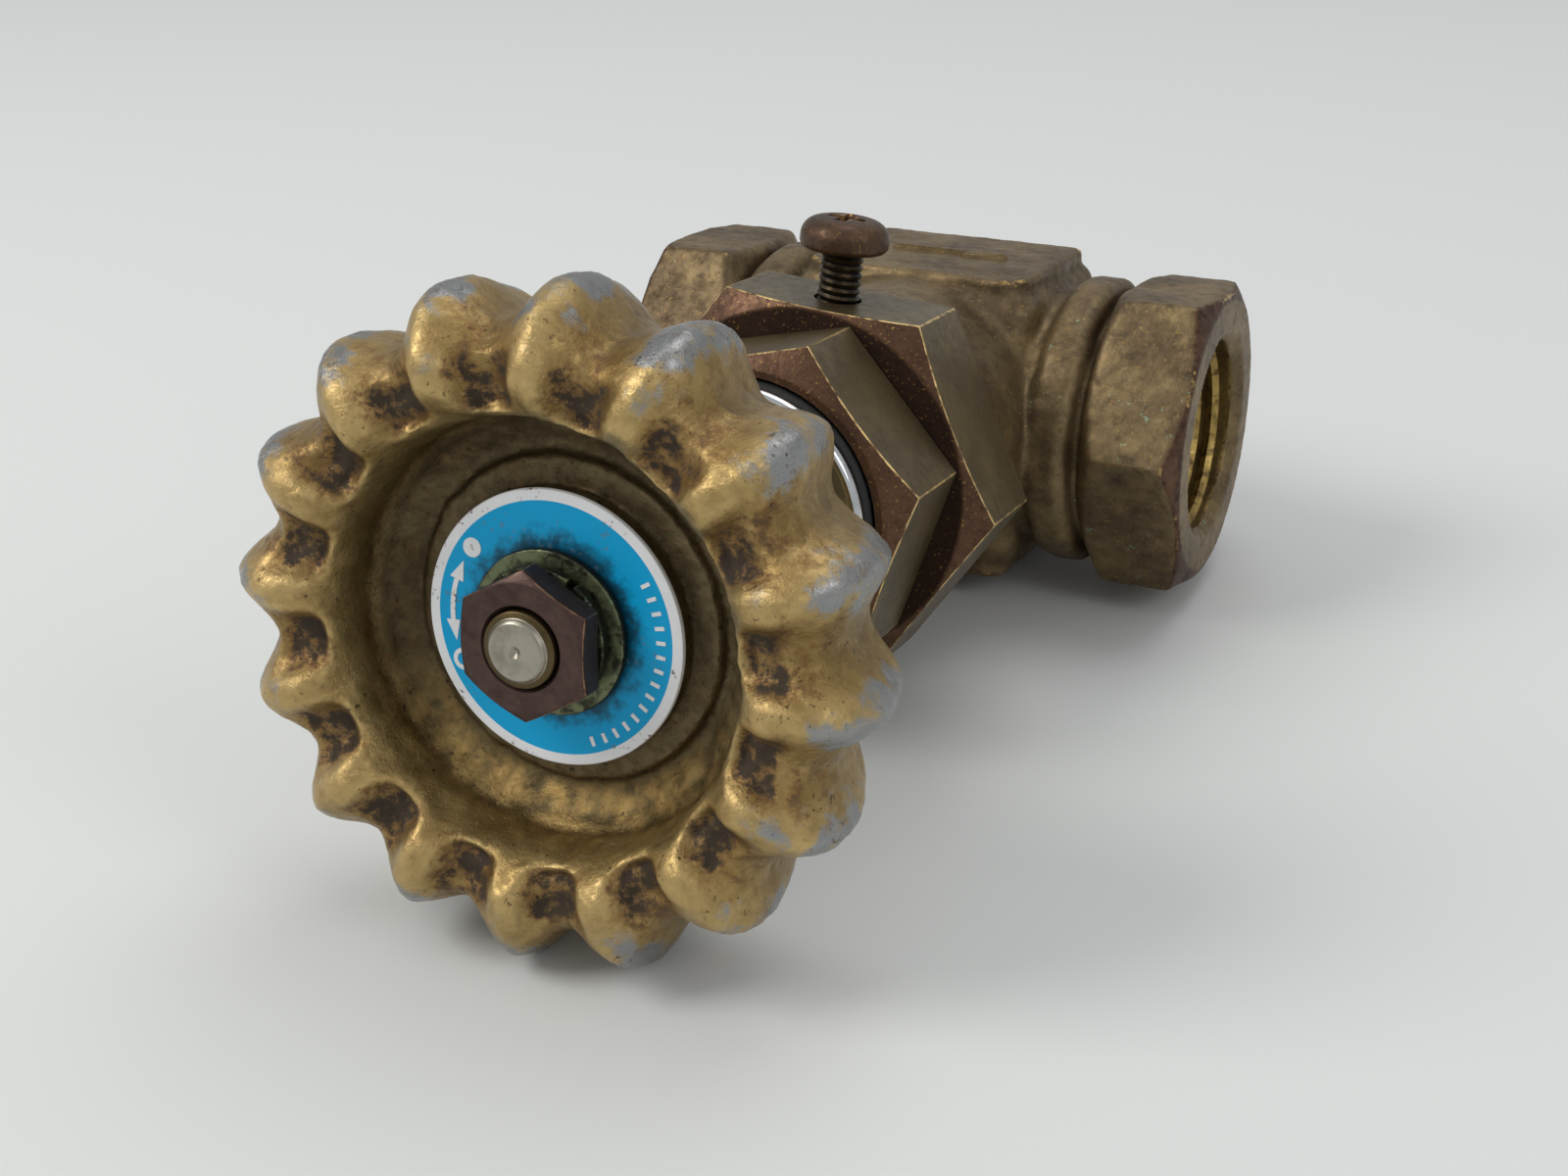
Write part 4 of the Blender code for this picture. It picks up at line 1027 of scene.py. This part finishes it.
def make_stem(finishes, ridge):
    """The turned stem: head, neck, working thread, shank, square and threaded tip with its centre mark."""
    low, tip, _ = span("stem")
    shoulder = WHEEL_REAR
    square_end = shoulder + SQUARE_LENGTH
    nut_face = span("wheel_nut")[1]
    rounds = soften(
        [
            (0, low), (STEM_HEAD_R, low), (STEM_HEAD_R, low + 2.4), (STEM_NECK_R, low + 2.4),
            (STEM_NECK_R, CORE_START - 1), (CORE_R, CORE_START), (CORE_R, CORE_END),
            (STEM_R, CORE_END + 1), (STEM_R, shoulder), (3.2, shoulder),
        ],
        0.3,
        closed=False,
    )
    prism = prism_radius(SQUARE, 4, 45)

    def square(angle):
        return min(prism(angle), SQUARE_CORNER_R)

    end = soften(
        [
            (2.7, square_end),
            (2.7, square_end + 0.7),
            (TIP_THREAD_R, square_end + 0.9),
            (TIP_THREAD_R, nut_face + 0.25),
            (TIP_POINT_R + 0.1, nut_face + 0.4),
            (TIP_POINT_R, tip - 0.2),
            (TIP_POINT_R - 0.2, tip),
            (0.5, tip),
            (0.12, tip - 0.3),
            (0, tip - 0.32),
        ],
        0.15,
        closed=False,
    )
    rows = [*rounds, (square, shoulder + 0.02), (square, square_end - 0.01), *end]
    data = turned(rows, evenly(96), closed=False)
    mark_relief(data, 3, 0.12)
    # painted shade: the tip's thread, from the square to just past the nut, takes the dark thread finish
    second_material(data, [square_end < face.center.z < nut_face + 0.4 for face in data.polygons])
    metals = [finishes["stem"], finishes["stem_thread"]]
    fitted("spindle_rod", data, STEM, metals, "spindle", "stem")
    size = (10.4, CORE_R - 0.1, 1.5, 0.42, 48)
    start = CORE_START + 0.6
    make_thread("spindle_thread", ridge, STEM, start, size, finishes["stem"], "spindle")


# ---- handwheel ----

LOBES = 16
LOBE_PHASE = 19.5
LOBE_DEPTH = 3.0
RIM_CREST_R = 20.0
RIM_INNER_R = 16.2
HUB_RING_R = 12.4
HUB_R = 8.5
BOLT_HOLE_R = 3.3
WIDEST_UP = 9.7  # from the wheel's rear to its rim's widest place
CREST_UP = 16.2  # and to its front
COLUMNS_A_LOBE = 26
LOBE_INPUTS = ("Lobes", "Phase", "Depth", "Drop", "Pocket", "Inner", "Outer", "Widest", "Crest", "Swell")
# Radii at which each begins and is full.
VALLEY_DROP = (16.4, 18.6)
POCKET_INNER_WALL = (16.8, 18.6)
POCKET_OUTER_WALL = (23.4, 20.6)
DISH_EDGE = (16.7, 15.4)
DISH_BACK = 74.0  # the dish is in front of this height


def lobe_tree():
    """Lobes round a plain turned rim, a pocket in the front of every valley, and a casting's unevenness.

    It also marks the lobes' tips, the valleys and the dish on the surface, for the paint to follow.
    """
    tree, given = new_tree("lobed rim", {**{key: FLOAT for key in LOBE_INPUTS}, "Finish": MATERIAL})
    position = add(tree, "GeometryNodeInputPosition")
    normal = add(tree, "GeometryNodeInputNormal")
    x, y, z = add(tree, "ShaderNodeSeparateXYZ", {0: position}).node.outputs
    flat = add(tree, "ShaderNodeCombineXYZ", {0: x, 1: y, 2: 0.0})
    radius = add(tree, "ShaderNodeVectorMath", {0: flat}, 1, operation="LENGTH")
    outward = add(tree, "ShaderNodeVectorMath", {0: flat}, operation="NORMALIZE")
    # A wave round the rim: 0 on every lobe, 1 in every valley.
    phase = reckon(tree, "SUBTRACT", reckon(tree, "ARCTAN2", y, x), given["Phase"])
    half_turn = times(tree, given["Lobes"], 0.5, phase)
    dip = reckon(tree, "ABSOLUTE", reckon(tree, "SINE", half_turn))
    wave = reckon(tree, "POWER", dip, 1.75)
    # How far out over the rim's width, and how far forward over its front, each of 0 to 1.
    width = reckon(tree, "SUBTRACT", given["Outer"], given["Inner"])
    out = reckon(tree, "DIVIDE", reckon(tree, "SUBTRACT", radius, given["Inner"]), width)
    out = add(tree, "ShaderNodeClamp", {0: out})
    rise = reckon(tree, "SUBTRACT", given["Crest"], given["Widest"])
    forward = reckon(tree, "DIVIDE", reckon(tree, "SUBTRACT", z, given["Widest"]), rise)
    forward = add(tree, "ShaderNodeClamp", {0: forward})
    sideways = times(tree, wave, given["Depth"], -1.0, out)
    # The front of each valley drops back, except along the rim's inner lip, and holds a flat-bottomed pocket.
    floor = eased(tree, dip, 0.36, 0.92)
    past_lip = eased(tree, radius, *VALLEY_DROP)
    within = times(tree, eased(tree, radius, *POCKET_INNER_WALL), eased(tree, radius, *POCKET_OUTER_WALL))
    pocket = times(tree, floor, within, eased(tree, forward, 0.35, 0.8))
    drop = times(tree, wave, past_lip, forward, given["Drop"])
    back = reckon(tree, "SUBTRACT", times(tree, pocket, given["Pocket"], -1.0), drop)
    feeds = {"Vector": position, "Scale": 0.28, "Detail": 4.0, "Roughness": 0.6}
    rough = add(tree, "ShaderNodeTexNoise", feeds)
    swell = times(tree, reckon(tree, "SUBTRACT", rough, 0.5), given["Swell"])
    along = add(tree, "ShaderNodeVectorMath", {0: outward, "Scale": sideways}, operation="SCALE")
    up = add(tree, "ShaderNodeCombineXYZ", {2: back})
    uneven = add(tree, "ShaderNodeVectorMath", {0: normal, "Scale": swell}, operation="SCALE")
    shift = add(tree, "ShaderNodeVectorMath", {0: along, 1: up}, operation="ADD")
    shift = add(tree, "ShaderNodeVectorMath", {0: shift, 1: uneven}, operation="ADD")
    tip = times(tree, reckon(tree, "SUBTRACT", 1.0, wave), reckon(tree, "POWER", out, 1.5))
    valley = both(tree, times(tree, floor, past_lip, forward), 0.45, pocket, 0.55)
    feeds = {"Value": radius, "From Min": DISH_EDGE[0], "From Max": DISH_EDGE[1]}
    dish = times(tree, add(tree, "ShaderNodeMapRange", feeds), reckon(tree, "GREATER_THAN", z, DISH_BACK))
    geometry = given["Geometry"]
    for name, value in (("tip", tip), ("valley", valley), ("dish", dish)):
        feeds = {"Geometry": geometry, "Name": name, "Value": value}
        geometry = add(tree, "GeometryNodeStoreNamedAttribute", feeds, data_type="FLOAT", domain="POINT")
    geometry = add(tree, "GeometryNodeSetPosition", {"Geometry": geometry, "Offset": shift})
    close_tree(tree, geometry, given["Finish"])
    return tree


def ellipse_arc(centre, radii, start, end, steps):
    """Points along part of an ellipse, between two angles in degrees."""
    angles = [math.radians(start + (end - start) * k / steps) for k in range(steps + 1)]
    return [(centre[0] + radii[0] * math.cos(a), centre[1] + radii[1] * math.sin(a)) for a in angles]


def subdivided(rows, longest):
    """More rows between those that lie far apart; plain rows only."""
    found = [rows[0]]
    for row in rows[1:]:
        last = found[-1]
        plain = not any(callable(value) for value in (*last[:2], *row[:2]))
        parts = max(1, math.ceil(math.dist(last[:2], row[:2]) / longest)) if plain else 1
        for k in range(1, parts + 1):
            t = k / parts
            found.append(tuple(a + (b - a) * t for a, b in zip(last[:2], row[:2])) if plain else row)
    return found


def make_handwheel(finishes):
    """The wheel: a turned outline with a square hole through its hub, and lobes raised round its rim."""
    rear = WHEEL_REAR
    face = LABEL_LOW - 1.5
    widest, crest = rear + WIDEST_UP, rear + CREST_UP
    centre = (RIM_CREST_R, widest)
    rise, outer_width = crest - widest, WHEEL_R - RIM_CREST_R
    web = face - 4.6
    hub = soften(
        [
            (BOLT_HOLE_R + 0.02, rear + 0.3),
            (HUB_R, rear + 0.3),
            (HUB_R + 0.5, web),
            (RIM_INNER_R - 1.5, web),
            (RIM_INNER_R - 0.9, web + 0.2),
        ],
        0.8,
        closed=False,
    )
    dish = soften(
        [
            (RIM_INNER_R - 0.1, face + 1.5),
            (RIM_INNER_R - 1.1, face + 0.2),
            (HUB_RING_R + 1.1, face - 0.7),
            (HUB_RING_R + 0.3, face - 0.8),
            (HUB_RING_R, face),
            (10.3, face),
            (10.1, LABEL_LOW - 0.3),
            (BOLT_HOLE_R, LABEL_LOW - 0.3),
        ],
        0.35,
        closed=False,
    )
    outline = [
        *hub[1:],
        *ellipse_arc(centre, (outer_width, widest - rear), -118, 0, 34),
        *ellipse_arc(centre, (outer_width, rise), 0, 90, 26)[1:],
        *ellipse_arc(centre, (RIM_CREST_R - RIM_INNER_R, rise), 90, 180, 18)[1:],
        *dish,
    ]
    square = prism_radius(SQUARE + 0.6, 4, 45)
    square_top = rear + SQUARE_LENGTH + 0.3
    rows = subdivided(outline, 0.55)
    rows += [(BOLT_HOLE_R, square_top), (square, square_top), (square, rear + 0.3)]
    values = {
        "Lobes": float(LOBES),
        "Phase": math.radians(LOBE_PHASE),
        "Depth": LOBE_DEPTH,
        "Inner": RIM_INNER_R,
        "Outer": WHEEL_R,
        "Widest": widest,
        "Crest": crest,
        "Drop": 1.5,
        "Pocket": 1.1,
        "Swell": 0.9,
        "Finish": finishes["wheel"],
    }
    data = grown(turned(rows, evenly(LOBES * COLUMNS_A_LOBE)), lobe_tree(), values)
    data.materials.clear()
    mark_relief(data, 16, 0.22)
    return fitted("cast_handwheel", data, STEM, [finishes["wheel"]], "spindle", "handwheel")


# ---- printed disc, washers and nut ----


def tick_tree():
    """Short radial dashes along an arc: a scale on the printed disc."""
    floats = ("Radius", "First", "Sweep", "Length", "Width")
    inputs = {"Ticks": WHOLE, **{key: FLOAT for key in floats}, "Finish": MATERIAL}
    tree, given = new_tree("scale of ticks", inputs)
    points = add(tree, "GeometryNodePoints", {"Count": given["Ticks"], "Position": (0, 0, 0)})
    index = add(tree, "GeometryNodeInputIndex")
    share = reckon(tree, "DIVIDE", index, reckon(tree, "SUBTRACT", given["Ticks"], 1.0))
    angle = reckon(tree, "MULTIPLY_ADD", share, given["Sweep"], given["First"])
    across = times(tree, reckon(tree, "COSINE", angle), given["Radius"])
    along = times(tree, reckon(tree, "SINE", angle), given["Radius"])
    spot = add(tree, "ShaderNodeCombineXYZ", {0: across, 1: along})
    points = add(tree, "GeometryNodeSetPosition", {"Geometry": points, "Position": spot})
    size = add(tree, "ShaderNodeCombineXYZ", {0: given["Length"], 1: given["Width"], 2: 0.04})
    dash = add(tree, "GeometryNodeMeshCube", {"Size": size})
    turn = add(tree, "ShaderNodeCombineXYZ", {2: angle})
    feeds = {"Points": points, "Instance": dash, "Rotation": turn}
    close_tree(tree, add(tree, "GeometryNodeInstanceOnPoints", feeds), given["Finish"])
    return tree


def plate(outline, low, high):
    """A flat piece between two heights with a closed (x, y) outline."""
    mesh = bmesh.new()
    corners = [mesh.verts.new((x, y, low)) for x, y in outline]
    face = mesh.faces.new(corners)
    raised = bmesh.ops.extrude_face_region(mesh, geom=[face])["geom"]
    for item in raised:
        if isinstance(item, bmesh.types.BMVert):
            item.co.z = high
    bmesh.ops.recalc_face_normals(mesh, faces=mesh.faces)
    data = bpy.data.meshes.new("plate")
    mesh.to_mesh(data)
    mesh.free()
    return data


def merged(*meshes):
    """Several meshes as one."""
    mesh = bmesh.new()
    for data in meshes:
        mesh.from_mesh(data)
    data = bpy.data.meshes.new("merged")
    mesh.to_mesh(data)
    mesh.free()
    return data


def double_arrow(radius, first, last, shaft, head, low, high):
    """A two-headed arrow bent along an arc of the disc, between two angles in degrees."""
    neck_low, neck_high = first + ARROW_HEAD, last - ARROW_HEAD
    shaft_angles = [neck_low + (neck_high - neck_low) * k / 8 for k in range(9)]
    outline = [(radius, first), (radius + head, neck_low)]
    outline += [(radius + shaft, angle) for angle in shaft_angles]
    outline += [(radius + head, neck_high), (radius, last), (radius - head, neck_high)]
    outline += [(radius - shaft, angle) for angle in reversed(shaft_angles)]
    outline += [(radius - head, neck_low)]
    flat = [(r * math.cos(math.radians(a)), r * math.sin(math.radians(a))) for r, a in outline]
    return plate(flat, low, high)


ARROW_HEAD = 11.0  # degrees
MARK_RING_R = 8.5
# The spot and the ring at the arrow's ends: angle in degrees, outer and inner radius.
MARKS = ((143, 0.75, 0.0), (206, 0.85, 0.5))


def make_label(finishes):
    """The printed disc: a white rim, a blue field, an open-and-shut arrow and a plain scale."""
    low, high, outer = LABEL_LOW, LABEL_TOP, LABEL_R
    rim = outer - 0.85
    rows = [
        (BOLT_HOLE_R, low), (outer - 0.1, low), (outer, low + 0.12), (outer, high - 0.12),
        (outer - 0.06, high - 0.03), (outer - 0.16, high), (rim, high), (rim - 0.001, high),
        (BOLT_HOLE_R, high),
    ]
    data = turned(rows)

    def in_field(face):
        return face.normal.z > 0.5 and math.hypot(face.center.x, face.center.y) < rim - 0.002

    second_material(data, [in_field(face) for face in data.polygons])
    mark_relief(data, 2, 0.2)
    inks = [finishes["white"], finishes["blue"]]
    fitted("printed_disc", data, STEM, inks, "spindle", "wheel_label")
    ink_low, ink_high = high + 0.005, high + 0.05
    shapes = [double_arrow(MARK_RING_R, 152, 196, 0.2, 0.58, ink_low, ink_high)]
    for angle, size, hollow in MARKS:
        spot = turned(ring_profile(hollow, size, ink_low, ink_high), evenly(40), closed=bool(hollow))
        way = math.radians(angle)
        spot.transform(Matrix.Translation((MARK_RING_R * math.cos(way), MARK_RING_R * math.sin(way), 0)))
        shapes.append(spot)
    white = [finishes["white"]]
    fitted("open_shut_marks", merged(*shapes), STEM, white, "spindle")
    values = {
        "Ticks": 15,
        "Radius": 8.75,
        "First": math.radians(-68),
        "Sweep": math.radians(100),
        "Length": 0.75,
        "Width": 0.3,
        "Finish": finishes["white"],
    }
    data = grown(bpy.data.meshes.new("ticks"), tick_tree(), values)
    data.materials.clear()
    data.transform(Matrix.Translation((0, 0, high + 0.025)))
    fitted("opening_scale", data, STEM, white, "spindle")


def make_washers(finishes):
    """A flat washer, and a spring washer split through at one place."""
    low, high, outer = span("wheel_washer")
    profile = ring_profile(BOLT_HOLE_R, outer, low, high)
    metal = finishes["washer"]
    round_piece("flat_washer", profile, 0.22, metal, "wheel_washer", "spindle", relief=0.05)
    low, high, outer = span("spring_washer")
    steps, gap = 90, math.radians(8)
    section = soften(ring_profile(BOLT_HOLE_R, outer, low, high), 0.2)
    points = []
    for k in range(steps + 1):
        angle = math.radians(60) + gap / 2 + (2 * math.pi - gap) * k / steps
        points += [(radius * math.cos(angle), radius * math.sin(angle), height) for radius, height in section]
    count = len(section)
    faces = [tuple(range(count)), tuple(steps * count + r for r in range(count))]
    for k in range(steps):
        for r in range(count):
            up = (r + 1) % count
            faces.append((k * count + r, (k + 1) * count + r, (k + 1) * count + up, k * count + up))
    data = bpy.data.meshes.new("split ring")
    data.from_pydata(points, [], faces)
    closed_up(data)
    mark_relief(data, 3, 0.06)
    fitted("split_spring_washer", data, STEM, [metal], "spindle", "spring_washer")


def make_wheel_nut(finishes):
    """The nut in front of the washers, its corners turned back."""
    low, high, _ = span("wheel_nut")
    flats, turn = 10.0, 30.9
    bore = TIP_THREAD_R + 0.1
    inside = soften([(bore + 0.25, high), (bore, high - 0.3), (bore, low)], 0.05, closed=False)
    angles, marks = corner_columns(6, turn, 8)
    rows = hexagon_rows(flats, turn, low, high, flats / 2 - 0.15, inside[-1][0])
    data = turned(rows + [(*point, 0.0) for point in inside], angles, marks)
    mark_relief(data, 3, 0.2, keep_worn=True)
    fitted("handwheel_nut", data, STEM, [finishes["nut"]], "spindle", "wheel_nut")


# ---- lock screw ----

RECESS_HALF = (2.2, 0.55)  # half the length and width of each slot of the cross, at the crown
RECESS_DEPTH = 1.7


def make_lock_screw(finishes, ridge):
    """A pan-head machine screw with a cross recess, and its blackened thread."""
    low, top, head_r = span("lock_screw", LOCK)
    head = top - 2.8
    core = 1.62
    crown = ellipse_arc((head_r - 1.6, top - 1.75), (1.6, 1.6), 0, 80, 8)
    profile = [
        (0, low), (core - 0.3, low), (core, low + 0.4), (core, head), (head_r - 0.35, head),
        (head_r, head + 0.4), *crown, (head_r - 2.0, top - 0.05), (0, top),
    ]
    data = turned(soften(profile, 0.18, closed=False), evenly(72), closed=False)
    wings = []
    x, y = RECESS_HALF
    for turn in (0, 90):
        wing = plate([(-x, -y), (x, -y), (x, y), (-x, y)], top - RECESS_DEPTH, top + 1)
        for vertex in wing.vertices:
            if vertex.co.z < top:
                vertex.co.x *= 0.42
                vertex.co.y *= 0.75
        wing.transform(Matrix.Rotation(math.radians(turn), 4, "Z"))
        wings.append(loose(wing))
    data = cut_out(loose(data), *wings)
    mark_relief(data, 3, 0.15)
    second_material(data, [face.center.z < head - 0.1 for face in data.polygons])
    metals = [finishes["screw"], finishes["screw_thread"]]
    fitted("pan_head_lock_screw", data, LOCK, metals, "lock_screw", "lock_screw")
    start = low + 0.6
    size = (head - 0.5 - start, core, 0.7, 0.3, 40)
    make_thread("lock_screw_thread", ridge, LOCK, start, size, metals[1], "lock_screw")


def refinish_inner_parts(finishes):
    """The pieces that nobody sees unless the valve comes apart keep their CAD shape."""
    wanted = {
        "packing_washer": "inner",
        "packing_ring_1": "fibre",
        "packing_ring_2": "fibre",
        "packing_ring_3": "fibre",
        "gland_follower": "inner",
        "disc_holder": "inner",
        "seat_disc": "rubber",
        "disc_washer": "inner",
        "disc_nut": "inner",
        "head_retainer": "inner",
        "lock_pad": "ptfe",
    }
    for node, key in wanted.items():
        data = frame["nodes"][node].data
        data.materials.clear()
        data.materials.append(finishes[key])


# ---- stage ----


def make_stage():
    """A pale floor, a hair below the lowest lobe."""
    mesh = bmesh.new()
    bmesh.ops.create_grid(mesh, x_segments=1, y_segments=1, size=3.0)
    bmesh.ops.translate(mesh, verts=mesh.verts, vec=(0, 0, -0.2 * MM))
    data = bpy.data.meshes.new("floor")
    mesh.to_mesh(data)
    mesh.free()
    floor = loose(data, "floor")
    paper, tree = new_material("matt_grey_paper")
    finish(tree, linear("DDDFDE"), 0.85, 0.0)
    data.materials.append(paper)


def soft_light(name, place, target, size, power, colour):
    """A round area light, aimed."""
    lamp = bpy.data.lights.new(name, "AREA")
    lamp.shape = "DISK"
    lamp.size = size
    lamp.energy = power
    lamp.color = linear(colour)[:3]
    made = loose(lamp, name)
    made.location = place
    aim = Vector(target) - Vector(place)
    made.rotation_euler = aim.to_track_quat("-Z", "Y").to_euler()


def make_lights():
    """A soft window on the left, a fill on the right, one light above and a pale room all round."""
    centre = (cad_box[0] + cad_box[1]) / 2
    soft_light("window_left", (-0.45, -0.35, 0.55), centre, 0.4, 2.6, "FFFDF8")
    soft_light("fill_right", (0.5, -0.2, 0.4), centre, 0.3, 0.5, "FFFFFF")
    soft_light("top", (0.05, 0.25, 0.7), centre, 0.5, 1.1, "FFFFFF")
    world = bpy.data.worlds.new("pale_room")
    world.use_nodes = True
    ground = world.node_tree.nodes["Background"]
    ground.inputs["Color"].default_value = linear("E6E8E9")
    ground.inputs["Strength"].default_value = 0.6
    bpy.context.scene.world = world
    bpy.context.scene.view_settings.view_transform = "Standard"


def make_camera():
    """A close view from the front, right and above."""
    lens = bpy.data.cameras.new("view")
    lens.lens = 50.456
    lens.sensor_width = 36.0
    lens.clip_start = 0.005
    camera = loose(lens, "view")
    camera.location = (0.07477, -0.165332, 0.096757)
    camera.rotation_euler = [math.radians(a) for a in (64.467075, 0.877692, 24.349466)]
    bpy.context.scene.camera = camera


def main():
    """Builds the whole scene."""
    finishes = make_materials()
    ridge = ridge_tree()
    make_camera()
    make_body(finishes)
    make_flow_arrow(finishes)
    make_port_threads(finishes, ridge)
    make_bonnet(finishes)
    make_gland(finishes)
    make_dust_cover(finishes)
    make_stem(finishes, ridge)
    make_handwheel(finishes)
    make_label(finishes)
    make_washers(finishes)
    make_wheel_nut(finishes)
    make_lock_screw(finishes, ridge)
    refinish_inner_parts(finishes)
    make_stage()
    make_lights()


main()
